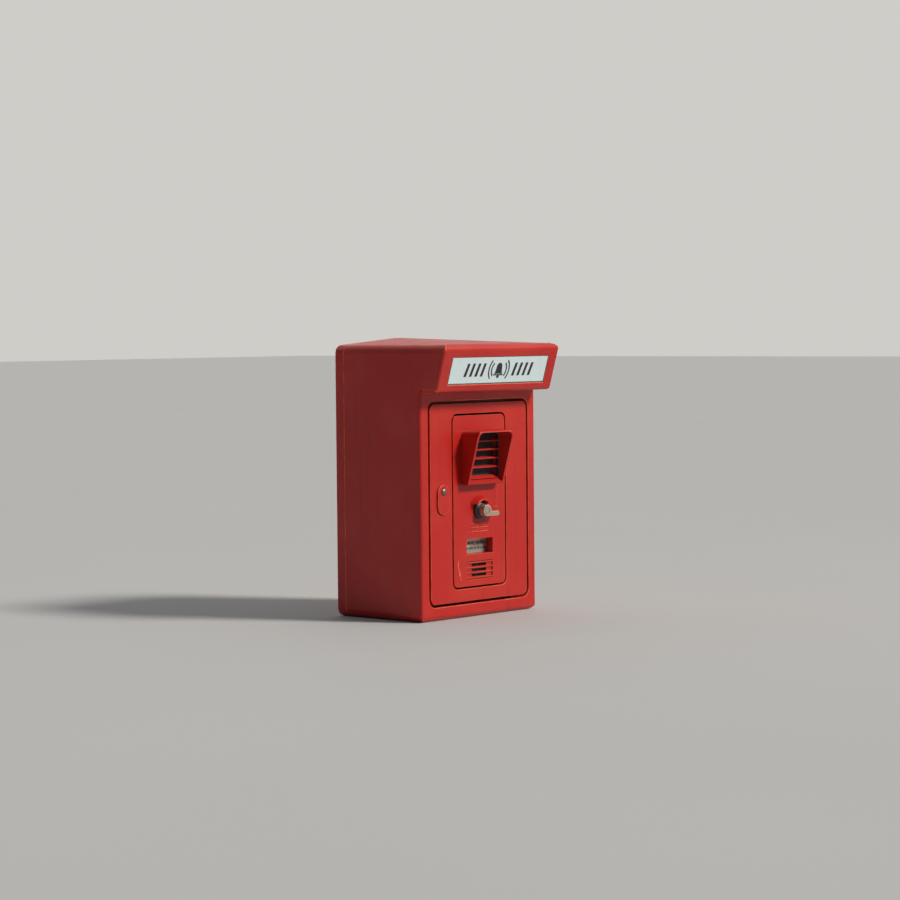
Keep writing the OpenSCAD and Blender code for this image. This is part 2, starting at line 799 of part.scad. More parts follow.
// A profile of [radius, distance back from the baffle] turned about the speaker's axis.
module turned(y, profile) {
    translate([0, y, speaker_z]) rotate([-90, 0, 0]) rotate_extrude() polygon(profile);
}

module speaker_basket() {
    f = speaker_flange_t;
    color("gray") turned(baffle_y, [[speaker_r - rim_w, 0], [speaker_r, 0], [speaker_r, f],
        [speaker_r - 2, f], [magnet_r - 2, basket_d], [magnet_r - 9, basket_d],
        [magnet_r - 9, basket_d - 1.5], [magnet_r - 3.2, basket_d - 1.5]]);
}

module speaker_cone() {
    r = speaker_r - rim_w - 2.3;
    color("black") turned(baffle_y, [[0, basket_d - 6], [8, basket_d - 6], [r - 3, 2.2], [r, 2.2], [r, 1.2],
        [r - 3.6, 1.2], [7.4, basket_d - 7], [0, basket_d - 7]]);
}

module speaker_magnet() {
    y = baffle_y + basket_d;
    color("dimgray") translate([0, 0, speaker_z]) {
        rod_y(magnet_r, y, y + magnet_d);
        rod_y(magnet_r - 9.2, y - 4.5, y + lap);
    }
}

// -------------------------------------------------------------------- lever

module at_lever() { translate([0, 0, lever_z]) children(); }

// A raised half-cone that keeps rain off the bush.
module lever_shroud() {
    out = 11;
    color("firebrick") at_lever() difference() {
        translate([0, front_y, 0]) rotate([90, 0, 0]) cylinder(r1 = bush_r + 11, r2 = bush_r + 4, h = out);
        rod_y(bush_r + 1.5, front_y - out - over, front_y + over);
        block([-60, front_y - out - over, -60], [60, front_y + over, bush_r * 0.72]);
    }
}

module lever_bush() {
    color([0.12, 0.12, 0.15]) at_lever() difference() {
        union() {
            rod_y(bush_r, front_y - bush_out + 3, front_y);
            translate([0, front_y - bush_out + 3, 0]) rotate([90, 0, 0])
                cylinder(r1 = bush_r, r2 = bush_r - 4, h = 3);
            rod_y(bush_in_r, front_y - lap, panel_back + 10);
        }
        rod_y(shaft_r + run, front_y - bush_out - over, panel_back + 10 + over);
    }
}

module bush_nut() {
    color("silver") at_lever() nut(bush_in_r + 4, bush_in_r + drop_in / 2, panel_back, panel_back + 5);
}

// The hub and the arm: the arm leaves the hub along its lower side.
module lever_handle() {
    arm_z = arm_t / 2 - hub_r;
    arm_y0 = hub_front + 1;
    arm_y1 = hub_back - 1.5;
    color("tan") at_lever() difference() {
        union() {
            rod_y(hub_r, hub_front, hub_back);
            translate([0, 0, arm_z - arm_t / 2]) along_y(arm_y0, arm_y1)
                square([arm_reach - arm_t / 2, arm_t]);
            translate([arm_reach - arm_t / 2, 0, arm_z]) rod_y(arm_t / 2, arm_y0, arm_y1);
        }
        rod_y(shaft_r + run, hub_front + cap_t, hub_back + over);
        rod_y(hub_r / 2, hub_front - over, hub_front + recess_d);
        rod_y(screw_r + drop_in, hub_front, hub_front + cap_t + over);
    }
}

module hub_screw() {
    color("silver") at_lever()
        screw(hub_r / 2 - seat, recess_d - lap, screw_r, hub_front + recess_d, hub_front + 12);
}

module lever_shaft() {
    color("silver") at_lever() difference() {
        rod_y(shaft_r, hub_front + cap_t, bracket_y + bracket_t + 5);
        rod_y(screw_r + drop_in, hub_front + cap_t - over, hub_front + 14);
        difference() {
            rod_y(shaft_r + over, bracket_y + bracket_t + 0.4, bracket_y + bracket_t + 1.8);
            rod_y(shaft_r - 1, bracket_y + bracket_t, bracket_y + bracket_t + 2);
        }
    }
}

// The stop pin's slot: an arc as long as the lever's turn.
module stop_slot() {
    r = pin_r + 0.3;
    from = pin_angle;
    to = pin_angle + lever_turn;
    reach = 3 * cam_disc_r;
    steps = [0 : 4];
    intersection() {
        difference() {
            circle(slot_ring + r);
            circle(slot_ring - r);
        }
        polygon(concat([[0, 0]],
            [for (i = steps) let (a = from + (to - from) * i / 4) [reach * cos(a), reach * sin(a)]]));
    }
    for (a = [from, to]) translate([slot_ring * cos(a), slot_ring * sin(a)]) circle(r);
}

module lever_cam() {
    color("khaki") at_lever() along_y(disc_y - cam_disc_t, disc_y) difference() {
        union() {
            circle(cam_disc_r);
            translate([0, -cam_disc_r + 2]) circle(7);
        }
        circle(shaft_r + drop_in / 5);
        stop_slot();
    }
}

module return_spring() {
    wire = 0.8;
    coil_r = shaft_r + 2.6;
    turns = 5;
    from = bush_inner_end + 0.6 + wire;
    to = disc_y - cam_disc_t - 0.4 - wire;
    sides = 8;
    per_turn = 20;
    rings = turns * per_turn;
    // One ring of the wire's section, standing across the helix.
    function ring(i) = let (a = 360 * i / per_turn, y = from + (to - from) * i / rings)
        [for (j = [0 : sides - 1]) let (b = 360 * j / sides, r = coil_r + wire * cos(b))
            [r * cos(a), y + wire * sin(b), r * sin(a)]];
    points = [for (i = [0 : rings]) each ring(i)];
    walls = [for (i = [0 : rings - 1], j = [0 : sides - 1]) let (k = (j + 1) % sides)
        [i * sides + j, i * sides + k, (i + 1) * sides + k, (i + 1) * sides + j]];
    ends = [[for (j = [sides - 1 : -1 : 0]) j], [for (j = [0 : sides - 1]) rings * sides + j]];
    color("silver") at_lever() polyhedron(points, concat(walls, ends), convexity = 10);
}

bush_inner_end = panel_back + 10;

module bearing_bracket() {
    color("lightgray") difference() {
        union() {
            block([-chassis_x, bracket_y, lever_z - bracket_h / 2],
                [chassis_x, bracket_y + bracket_t, lever_z + bracket_h / 2]);
            for (s = [0, 1]) mirror([s, 0, 0])
                block([chassis_x - 2, bracket_y, lever_z - bracket_h / 2],
                    [chassis_x, bracket_y + 18, lever_z + bracket_h / 2]);
        }
        at_lever() rod_y(shaft_r + run, bracket_y - over, bracket_y + bracket_t + over);
        at_lever() rotate([0, -pin_angle, 0]) translate([slot_ring, 0, 0])
            rod_y(pin_r + 0.02, bracket_y - over, bracket_y + bracket_t + over);
    }
}

module stop_pin() {
    color("silver") at_lever() rotate([0, -pin_angle, 0]) translate([slot_ring, 0, 0])
        rod_y(pin_r, disc_y - cam_disc_t - 1, bracket_y + bracket_t);
}

module call_sensor() {
    color("dimgray") {
        block([-slot_ring - 12, bracket_y - 4.2, lever_z - 4], [-slot_ring + 4, bracket_y, lever_z + 4]);
        block([-slot_ring - 30, bracket_y - 2, lever_z - 2], [-slot_ring - 12, bracket_y, lever_z + 2]);
    }
}

// ---------------------------------------------------- window and microphone

card_screw_x = window_w / 2 + 8;
card_screw_r = 1.5;
card_y = window_back + pane_t;
holder_y = card_y + card_t;

module window_pane() {
    color("lightblue", 0.5) translate([0, 0, window_z]) along_y(window_back, card_y)
        round_rect(window_w + 4, window_h + 4, 2);
}

module instruction_card() {
    color("beige") translate([0, 0, window_z]) along_y(card_y, holder_y)
        round_rect(window_w + 3, window_h + 3, 1);
}

module card_holder() {
    arm_w = 10;
    x = window_w / 2 + 3;
    color("lightgray") difference() {
        translate([0, 0, window_z]) {
            along_y(holder_y, holder_y + 1.5) round_rect(window_w + 8, window_h - 4, 2);
            for (s = [0, 1]) mirror([s, 0, 0]) {
                block([x, panel_back, -arm_w / 2], [x + 1.5, holder_y + 1, arm_w / 2]);
                block([x, panel_back, -arm_w / 2], [card_screw_x + 4, panel_back + 1.5, arm_w / 2]);
            }
        }
        for (s = [-1, 1]) translate([s * card_screw_x, 0, window_z])
            rod_y(card_screw_r + drop_in, panel_back - over, panel_back + 1.5 + over);
    }
}

module card_screws() {
    color("silver") for (s = [-1, 1]) translate([s * card_screw_x, 0, window_z]) {
        rod_y(2.8, panel_back + 1.5, panel_back + 3.5);
        rod_y(card_screw_r, panel_back - 2, panel_back + 1.5 + lap);
    }
}

boot_r = 15;
boot_d = 9;
capsule_r = 10;

module microphone_boot() {
    color([0.15, 0.15, 0.15]) translate([0, 0, mic_z]) difference() {
        along_y(panel_back, panel_back + boot_d) round_rect(slot_w + 6, 2 * boot_r, 4);
        along_y(panel_back - over, panel_back + 2) round_rect(slot_w + 2, 3 * slot_pitch, 3);
        rod_y(capsule_r + drop_in / 2, panel_back, panel_back + boot_d + over);
    }
}

module microphone() {
    color("silver") translate([0, 0, mic_z]) {
        rod_y(capsule_r, panel_back + 3, panel_back + boot_d + 1);
        rod_y(capsule_r + 2, panel_back + boot_d, panel_back + boot_d + 2);
    }
}

// ---------------------------------------------------------------- equipment

// Room beside the transmitter and the battery, inside the chassis.
case_side = 16.5;
battery_side = 18.5;
case_w = 2 * (chassis_x - case_side);
case_d = 38;
case_z0 = panel_z - 8;
case_h = 122;
board_gap = 9;
board_y = -wall - case_d - board_gap;
board_t = 1.6;

module at_board_posts() {
    translate([0, 0, case_z0 + case_h / 2]) at_corners(case_w / 2 - 6, case_h / 2 - 6) children();
}

module transmitter_case() {
    fins = 9;
    color("lightslategray") difference() {
        union() {
            block([-case_w / 2, -wall - case_d, case_z0], [case_w / 2, -wall, case_z0 + case_h]);
            for (s = [-1, 1]) translate([s * (case_w / 2 + 4), 0, 0])
                block([-5, -wall - 3, case_z0 + 20], [5, -wall, case_z0 + case_h - 20]);
        }
        for (i = [0 : fins - 1]) let (x = -case_w / 2 + 16 + i * (case_w - 32) / (fins - 1))
            block([x - 1.8, -wall - case_d - over, case_z0 + 18],
                [x + 1.8, -wall - case_d + 6, case_z0 + case_h - 18]);
    }
}

module board_posts() {
    color("goldenrod") at_board_posts() rod_y(2.6, board_y, -wall - case_d);
}

module amplifier_board() {
    color("darkgreen") translate([0, 0, case_z0 + case_h / 2]) {
        along_y(board_y - board_t, board_y) round_rect(case_w, case_h, 2);
        block([12 - case_w / 2, board_y - board_t - 11, 18], [-12, board_y - board_t + lap, 42]);
        block([2, board_y - board_t - 4, 20], [case_w / 2 - 12, board_y - board_t + lap, 36]);
        block([10 - case_w / 2, board_y - board_t - 9, -50], [case_w / 2 - 10, board_y - board_t + lap, -38]);
        for (i = [-1 : 1]) translate([i * (case_w / 2 - 26) - 4, 0, -12])
            rod_y(6, board_y - board_t - 15, board_y - board_t + lap);
    }
}

battery_w = 2 * (chassis_x - battery_side);
battery_d = 64;
battery_h = 62;

module battery() {
    color("darkslategray") {
        block([-battery_w / 2, -wall - battery_d, chassis_bottom],
            [battery_w / 2, -wall, chassis_bottom + battery_h]);
        for (s = [-1, 1]) translate([s * (battery_w / 2 - 12), 0, chassis_bottom + battery_h])
            block([-4, -wall - battery_d + 6, -lap], [4, -wall - battery_d + 7.2, 7]);
    }
}

module battery_clamp() {
    y = -wall - battery_d;
    z = chassis_bottom + battery_h * 0.45;
    color("lightgray") {
        block([-chassis_x, y - 2, z - 8], [chassis_x, y, z + 8]);
        for (s = [0, 1]) mirror([s, 0, 0]) block([chassis_x - 2, y - 2, z - 8], [chassis_x, y + 14, z + 8]);
    }
}

terminal_x = -chassis_w / 2 - flange_w - 22;
terminal_w = 20;
terminal_count = 6;
terminal_pitch = 8;

module terminal_block() {
    z0 = grommet_z + 30;
    h = terminal_count * terminal_pitch;
    color("ivory") difference() {
        block([terminal_x - terminal_w / 2, -wall - 18, z0], [terminal_x + terminal_w / 2, -wall, z0 + h]);
        for (i = [0 : terminal_count - 1]) translate([terminal_x, 0, z0 + (i + 0.5) * terminal_pitch]) {
            rod_y(2.4, -wall - 18 - over, -wall - 10);
            block([-terminal_w / 2 - over, -wall - 12, -1.6], [-terminal_w / 2 + 4, -wall - 8, 1.6]);
        }
    }
}

grommet_x = -body_w / 2 + 41;
grommet_z = panel_z0 + 26;
grommet_r = cable_r + 5;

module cable_grommet() {
    color([0.15, 0.15, 0.15]) translate([grommet_x, 0, grommet_z]) difference() {
        union() {
            rod_y(grommet_r, -wall - lap, -0.5);
            rod_y(grommet_r + 4, -wall - 4, -wall);
        }
        rod_y(cable_r, -wall - 4 - over, over);
    }
}

// --------------------------------------------------------- door and its lock

module door() {
    hole_w = panel_w + 2 * panel_gap;
    hole_h = panel_h + 2 * panel_gap;
    hole_r = panel_r + panel_gap;
    color("firebrick") difference() {
        union() {
            translate([0, 0, door_z]) {
                along_y(front_y, skin_y) round_rect(door_w, door_h, door_r);
                along_y(skin_y - lap, fold_y) round_ring(door_w, door_h, door_r, fold_t);
            }
            translate([0, 0, panel_z]) along_y(skin_y - lap, fold_y)
                round_rect(hole_w + 2 * fold_t, hole_h + 2 * fold_t, hole_r + fold_t);
        }
        translate([0, 0, panel_z]) along_y(front_y - over, fold_y + over) round_rect(hole_w, hole_h, hole_r);
        translate([lock_x, 0, key_z]) rod_y(plug_r + 1.5, front_y - over, skin_y + over);
        translate([lock_x, 0, rivet_z]) rod_y(rivet_r + run, front_y - over, skin_y + over);
        // Notches in the fold for the hinge arms.
        for (z = hinge_levels) block([hinge_x + 5.5, skin_y, z - 5], [door_x + over, fold_y + over, z + 5]);
    }
}

module door_lugs() {
    color("gray") for (z = hinge_levels) translate([hinge_x, hinge_y, 0])
        along_z(z + hinge_t / 2 + seat, z + hinge_t / 2 + seat + lug_h) difference() {
            union() {
                circle(lug_r);
                translate([-lug_r, skin_y - hinge_y]) square([2 * lug_r, hinge_y - skin_y]);
            }
            circle(hinge_pin_r + run);
        }
}

module at_lock() { translate([lock_x, 0, key_z]) children(); }

module lock_body() {
    color("silver") at_lock() difference() {
        union() {
            rod_y(plug_r + 1.5 - drop_in, front_y + 0.5, cam_y - 4);
            rod_y(plug_r + 5, skin_y, skin_y + 3);
        }
        rod_y(plug_r + run, front_y - over, cam_y);
    }
}

module lock_nut() {
    color("silver") at_lock() nut(plug_r + 6, plug_r + 1.5 + drop_in, skin_y + 3, skin_y + 8);
}

// The turning plug, with its keyway and the square end that carries the cam.
module lock_plug() {
    color("goldenrod") at_lock() difference() {
        union() {
            rod_y(plug_r, front_y + 0.6, cam_y - 3.5);
            rod_y(plug_r - 3, cam_y - 4, cam_y);
            rod_y(3.5, cam_y - lap, cam_y + cam_t);
            rod_y(plug_r - 2, cam_y + cam_t - lap, cam_y + cam_t + 2);
        }
        block([-1, front_y - over, -4], [1, front_y + 9, 4]);
    }
}

module lock_cam() {
    w = 11;
    color("silver") at_lock() along_y(cam_y, cam_y + cam_t - lap) difference() {
        union() {
            circle(w / 2 + 1.5);
            translate([-w / 2, -cam_reach + w / 2]) square([w, cam_reach - w / 2]);
            translate([0, -cam_reach + w / 2]) circle(w / 2);
        }
        circle(3.5 + 0.02);
    }
}

// The oval cover hangs from its rivet over the keyhole.
module lock_cover() {
    r = cover_w / 2;
    above = rivet_head_r + 6;
    color("firebrick") translate([lock_x, 0, rivet_z]) along_y(cover_y - cover_t, cover_y) difference() {
        union() {
            translate([0, above - r]) circle(r);
            translate([0, above - cover_h + r]) circle(r);
            translate([-r, above - cover_h + r]) square([cover_w, cover_h - 2 * r]);
        }
        circle(rivet_r + run);
    }
}

module cover_rivet() {
    head_y = cover_y - cover_t - 0.2;
    dome_r = 7.5;
    dome_h = 3;
    color("silver") translate([lock_x, 0, rivet_z]) {
        rod_y(rivet_r, head_y - lap, skin_y + lap);
        rod_y(rivet_r + 2, skin_y, skin_y + 1.5);
        intersection() {
            translate([0, head_y - dome_h + dome_r, 0]) sphere(dome_r);
            rod_y(rivet_head_r, head_y - dome_h - over, head_y);
        }
    }
}

// ------------------------------------------------------------------ the whole

rear_pan();
housing();
housing_screws();
door_frame();
door_gasket();
hinge_brackets();
hinge_screws();
hinge_pins();
sign_panel();
sign_gasket();
sign_retainer();
sign_screws();
lamp_tube();
lamp_holders();
lamp_reflector();
lamp_ballast();
chassis();
chassis_nuts();
control_panel();
panel_nuts();
speaker_hood();
louvre_slats();
speaker_gauze();
speaker_baffle();
speaker_basket();
speaker_cone();
speaker_magnet();
speaker_screws();
lever_shroud();
lever_bush();
bush_nut();
bearing_bracket();
stop_pin();
call_sensor();
window_pane();
instruction_card();
card_holder();
card_screws();
microphone_boot();
microphone();
transmitter_case();
board_posts();
amplifier_board();
battery();
battery_clamp();
terminal_block();
cable_grommet();
door();
door_lugs();
lock_body();
lock_nut();
cover_rivet();
lock_plug();
lock_cam();
lock_cover();
lever_handle();
lever_shaft();
hub_screw();
lever_cam();
return_spring();
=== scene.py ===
"""Looks of the street alarm box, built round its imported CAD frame.

Every piece is a sub-assembly's own: the classes below build its mesh, dress it in a finish and let it
ride on the CAD body that carries it. Sizes are in metres, in the frame of the part.
"""
import functools
import json
import logging
import math
from collections.abc import Callable, Iterable
from dataclasses import dataclass, field
from enum import Enum

import bmesh
import bpy
import numpy as np
from mathutils import Matrix, Vector


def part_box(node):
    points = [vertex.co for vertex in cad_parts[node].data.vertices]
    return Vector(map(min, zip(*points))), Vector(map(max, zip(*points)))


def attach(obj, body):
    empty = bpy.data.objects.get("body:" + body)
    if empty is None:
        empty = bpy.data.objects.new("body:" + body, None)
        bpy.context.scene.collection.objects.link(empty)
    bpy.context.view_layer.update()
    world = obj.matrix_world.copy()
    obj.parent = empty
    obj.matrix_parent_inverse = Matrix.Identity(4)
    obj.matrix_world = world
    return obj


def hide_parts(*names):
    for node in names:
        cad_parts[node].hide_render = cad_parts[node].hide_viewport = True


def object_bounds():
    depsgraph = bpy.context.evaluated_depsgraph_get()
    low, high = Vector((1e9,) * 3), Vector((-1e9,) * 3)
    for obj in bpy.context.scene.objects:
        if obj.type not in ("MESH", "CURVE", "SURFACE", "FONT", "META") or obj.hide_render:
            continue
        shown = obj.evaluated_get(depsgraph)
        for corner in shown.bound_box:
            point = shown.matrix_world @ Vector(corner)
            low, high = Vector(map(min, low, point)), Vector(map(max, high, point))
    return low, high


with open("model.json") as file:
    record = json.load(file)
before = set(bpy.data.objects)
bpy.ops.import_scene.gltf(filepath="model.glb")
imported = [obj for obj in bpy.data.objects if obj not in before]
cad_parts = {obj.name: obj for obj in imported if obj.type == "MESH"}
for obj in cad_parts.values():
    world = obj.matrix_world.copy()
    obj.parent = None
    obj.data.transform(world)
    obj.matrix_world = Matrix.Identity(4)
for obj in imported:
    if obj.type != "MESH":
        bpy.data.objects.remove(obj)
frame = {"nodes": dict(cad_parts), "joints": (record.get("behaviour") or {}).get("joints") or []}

CAD_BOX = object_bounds()
MM = 0.001
SAME_POINT = 2e-6
LOG = logging.getLogger("alarm_box")

Colour = tuple[float, float, float]
Point = tuple[float, float, float]
Flat = tuple[float, float]


@functools.cache
def box(node: str) -> tuple[Vector, Vector]:
    """A CAD node's lowest and highest corners, measured once."""
    low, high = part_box(node)
    return low.freeze(), high.freeze()


class Slot(Enum):
    """The record's material slots."""

    RED = "red_enamel"
    RUBBER = "black_rubber"
    ZINC = "zinc_steel"
    ACRYLIC = "sign_acrylic"
    LAMP = "lamp_glass"
    WHITE = "white_enamel"
    IVORY = "ivory_plastic"
    GREY = "grey_plastic"
    GAUZE = "black_gauze"
    CONE = "paper_cone"
    BLACK = "black_plastic"
    WINDOW = "clear_window"
    CARD = "cream_card"
    CASE = "cast_case"
    BOARD = "board_laminate"
    BRASS = "brass"
    BRIGHT = "bright_steel"
    LEVER = "cast_lever"
    NYLON = "nylon"


class Body(Enum):
    """The bodies that pieces ride on."""

    ROOT = "root"
    DOOR = "door"
    LOCK = "lock"
    COVER = "cover"
    LEVER = "lever"


# --------------------------------------------------------------------------- shader graphs


class Graph:
    """A material's node tree, with short calls for the nodes that the finishes share."""

    def __init__(self, name: str) -> None:
        """Starts an empty material of that name with its Principled shader.

        Args:
            name: The material's name.
        """
        self.material = bpy.data.materials.new(name)
        self.material.use_nodes = True
        self.nodes = self.material.node_tree.nodes
        self.links = self.material.node_tree.links
        self.shader = self.nodes["Principled BSDF"]
        self.place = self.nodes.new("ShaderNodeTexCoord").outputs["Object"]

    def plug(self, value: object, socket: bpy.types.NodeSocket) -> None:
        """Links an output to a socket, or sets the socket to a constant.

        Args:
            value: An output socket, a number or a colour.
            socket: The input that takes it.
        """
        if isinstance(value, bpy.types.NodeSocket):
            self.links.new(value, socket)
        elif isinstance(value, tuple) and len(value) == 3 and socket.type == "RGBA":
            socket.default_value = (*value, 1.0)
        else:
            socket.default_value = value

    def stretched(self, scale: Point) -> bpy.types.NodeSocket:
        """The object's coordinates, scaled along each axis.

        Args:
            scale: The factor for X, Y and Z.

        Returns:
            The scaled vector.
        """
        node = self.nodes.new("ShaderNodeMapping")
        node.inputs["Scale"].default_value = scale
        self.links.new(self.place, node.inputs["Vector"])
        return node.outputs["Vector"]

    def noise(self, scale: float, detail: float = 3.0, rough: float = 0.55,
              at: bpy.types.NodeSocket | None = None) -> bpy.types.NodeSocket:
        """A noise from 0 to 1.

        Args:
            scale: Waves per metre.
            detail: Octaves.
            rough: How strongly the finer octaves show.
            at: The vector it is read at, or None for the object's coordinates.

        Returns:
            The noise's value.
        """
        node = self.nodes.new("ShaderNodeTexNoise")
        node.inputs["Scale"].default_value = scale
        node.inputs["Detail"].default_value = detail
        node.inputs["Roughness"].default_value = rough
        self.links.new(at or self.place, node.inputs["Vector"])
        return node.outputs["Fac"]

    def cells(self, scale: float) -> bpy.types.NodeSocket:
        """The distance to the nearest of scattered points.

        Args:
            scale: Points per metre.

        Returns:
            The distance.
        """
        node = self.nodes.new("ShaderNodeTexVoronoi")
        node.inputs["Scale"].default_value = scale
        self.links.new(self.place, node.inputs["Vector"])
        return node.outputs["Distance"]

    def span(self, value: object, low: float, high: float, out_low: float = 0.0,
             out_high: float = 1.0) -> bpy.types.NodeSocket:
        """A value eased from one range into another, and held at its ends.

        Args:
            value: What is mapped.
            low: Start of its range.
            high: End of its range.
            out_low: What the start becomes.
            out_high: What the end becomes.

        Returns:
            The mapped value.
        """
        node = self.nodes.new("ShaderNodeMapRange")
        node.interpolation_type = "SMOOTHSTEP"
        for name, number in (("From Min", low), ("From Max", high), ("To Min", out_low), ("To Max", out_high)):
            node.inputs[name].default_value = number
        self.plug(value, node.inputs["Value"])
        return node.outputs["Result"]

    def maths(self, kind: str, a: object, b: object = 0.0) -> bpy.types.NodeSocket:
        """One sum.

        Args:
            kind: The Math node's operation.
            a: First value.
            b: Second value.

        Returns:
            The result.
        """
        node = self.nodes.new("ShaderNodeMath")
        node.operation = kind
        self.plug(a, node.inputs[0])
        self.plug(b, node.inputs[1])
        return node.outputs[0]

    def mix(self, share: object, a: object, b: object) -> bpy.types.NodeSocket:
        """Two colours mixed.

        Args:
            share: How much of the second shows.
            a: First colour.
            b: Second colour.

        Returns:
            The mixed colour.
        """
        node = self.nodes.new("ShaderNodeMix")
        node.data_type = "RGBA"
        self.plug(share, node.inputs[0])
        self.plug(a, node.inputs[6])
        self.plug(b, node.inputs[7])
        return node.outputs[2]

    def axes(self) -> tuple[bpy.types.NodeSocket, bpy.types.NodeSocket, bpy.types.NodeSocket]:
        """The object's coordinates.

        Returns:
            X, Y and Z as three numbers.
        """
        node = self.nodes.new("ShaderNodeSeparateXYZ")
        self.links.new(self.place, node.inputs[0])
        return node.outputs[0], node.outputs[1], node.outputs[2]

    def attribute(self, name: str) -> bpy.types.NodeSocket:
        """A piece's own attribute.

        Args:
            name: The attribute's name.

        Returns:
            Its value, 0 where the piece has none.
        """
        node = self.nodes.new("ShaderNodeAttribute")
        node.attribute_name = name
        return node.outputs["Fac"]

    def bump(self, height: object, depth: float,
             under: bpy.types.NodeSocket | None = None) -> bpy.types.NodeSocket:
        """A bumped normal.

        Args:
            height: The height from 0 to 1.
            depth: How far a height of 1 stands up, in metres.
            under: A normal that it adds to.

        Returns:
            The normal.
        """
        node = self.nodes.new("ShaderNodeBump")
        node.inputs["Strength"].default_value = 1.0
        node.inputs["Distance"].default_value = depth
        self.plug(height, node.inputs["Height"])
        if under is not None:
            self.links.new(under, node.inputs["Normal"])
        return node.outputs["Normal"]

    def finish(self, **inputs: object) -> bpy.types.Material:
        """Sets the shader's sockets and returns the material.

        Args:
            **inputs: Socket names in snake case, each with a constant or an output.

        Returns:
            The finished material.
        """
        for name, value in inputs.items():
            self.plug(value, self.shader.inputs[name.replace("_", " ").title().replace("Ior", "IOR")])
        return self.material


# --------------------------------------------------------------------------- finishes


@dataclass(frozen=True)
class Finish:
    """What every finish has: a name, a colour and a roughness."""

    name: str
    colour: Colour
    roughness: float = 0.5

    def make(self) -> bpy.types.Material:
        """Builds the material.

        Returns:
            The finished material.
        """
        raise NotImplementedError


@dataclass(frozen=True)
class Enamel(Finish):
    """Stove enamel: orange peel, faded patches, rain streaks, dust specks, and lighter edges that are partly
    wear and partly a painted highlight.
    """

    faded: Colour = (0.58, 0.05, 0.03)
    grime: Colour = (0.10, 0.012, 0.010)
    # lighter colour on the rounded edges: partly wear, partly a painted highlight for the shine those edges
    # catch
    edge_wear_and_highlight: Colour = (0.80, 0.16, 0.07)
    streaks: float = 0.35
    scratches: tuple[tuple[Flat, Flat], ...] = ()

    def _scratch(self, g: Graph, start: Flat, end: Flat) -> bpy.types.NodeSocket:
        """The mask of one scratch on an upright face.

        Args:
            g: The material's graph.
            start: Its upper end, X and Z.
            end: Its lower end, X and Z.

        Returns:
            1 in the scratch and 0 beside it.
        """
        x, _, z = g.axes()
        run, rise = end[0] - start[0], end[1] - start[1]
        length = math.hypot(run, rise)
        ux, uz = run / length, rise / length
        dx, dz = g.maths("SUBTRACT", x, start[0]), g.maths("SUBTRACT", z, start[1])
        along = g.maths("ADD", g.maths("MULTIPLY", dx, ux), g.maths("MULTIPLY", dz, uz))
        across = g.maths("SUBTRACT", g.maths("MULTIPLY", dx, uz), g.maths("MULTIPLY", dz, ux))
        wander = g.maths("MULTIPLY", g.maths("SUBTRACT", g.noise(90, 2), 0.5), 3.2 * MM)
        off = g.maths("ABSOLUTE", g.maths("ADD", across, wander))
        line = g.span(off, 0.2 * MM, 0.5 * MM, 1.0, 0.0)
        ends = g.span(along, length - 2 * MM, length, 1.0, 0.0)
        inside = g.maths("MULTIPLY", g.span(along, 0.0, 1.5 * MM), ends)
        broken = g.span(g.noise(420, 2), 0.40, 0.55)
        return g.maths("MULTIPLY", g.maths("MULTIPLY", line, inside), broken)

    def make(self) -> bpy.types.Material:
        """Builds the material.

        Returns:
            The finished material.
        """
        g = Graph(self.name)
        patch = g.noise(7, 4)
        colour = g.mix(g.span(patch, 0.40, 0.72, 0.0, 0.32), self.colour, self.faded)
        streak = g.span(g.noise(1, 4, 0.6, g.stretched((95, 95, 7))), 0.54, 0.80, 0.0, self.streaks)
        colour = g.mix(streak, colour, self.grime)
        speck = g.span(g.noise(430, 2), 0.69, 0.78, 0.0, 0.35)
        colour = g.mix(speck, colour, self.faded)
        # this edge mask carries edge wear and a painted highlight along the rounded edges
        worn = g.maths("MULTIPLY", g.attribute("edge"), g.span(g.noise(55, 5, 0.65), 0.36, 0.60, 0.35, 0.9))
        colour = g.mix(worn, colour, self.edge_wear_and_highlight)
        for start, end in self.scratches:
            colour = g.mix(self._scratch(g, start, end), colour, (0.70, 0.34, 0.24))
        rough = g.span(g.noise(22, 5, 0.6), 0.3, 0.75, self.roughness - 0.02, self.roughness + 0.10)
        rough = g.maths("ADD", rough, g.maths("MULTIPLY", streak, 0.3))
        normal = g.bump(g.noise(9, 2), 0.22 * MM)
        normal = g.bump(g.noise(330, 2), 0.035 * MM, normal)
        normal = g.bump(g.maths("SUBTRACT", 1.0, worn), 0.02 * MM, normal)
        return g.finish(base_color=colour, roughness=rough, normal=normal, coat_weight=0.14,
                        coat_roughness=0.18, specular_ior_level=0.36)


@dataclass(frozen=True)
class Metal(Finish):
    """Bare or plated metal, brushed one way, with blotches and tarnish."""

    tarnish: Colour = (0.28, 0.27, 0.25)
    brush: Point = (900, 60, 60)
    spots: float = 0.3
    metallic: float = 1.0

    def make(self) -> bpy.types.Material:
        """Builds the material.

        Returns:
            The finished material.
        """
        g = Graph(self.name)
        blotch = g.span(g.noise(60, 5, 0.65), 0.45, 0.75, 0.0, self.spots)
        colour = g.mix(blotch, self.colour, self.tarnish)
        grain = g.noise(1, 3, 0.6, g.stretched(self.brush))
        colour = g.mix(g.span(grain, 0.3, 0.7, 0.0, 0.18), colour, self.tarnish)
        rough = g.maths("ADD", g.span(grain, 0.25, 0.75, self.roughness - 0.08, self.roughness + 0.1),
                        g.maths("MULTIPLY", blotch, 0.35))
        normal = g.bump(grain, 0.02 * MM)
        normal = g.bump(g.noise(140, 3), 0.04 * MM, normal)
        return g.finish(base_color=colour, roughness=rough, normal=normal, metallic=self.metallic)


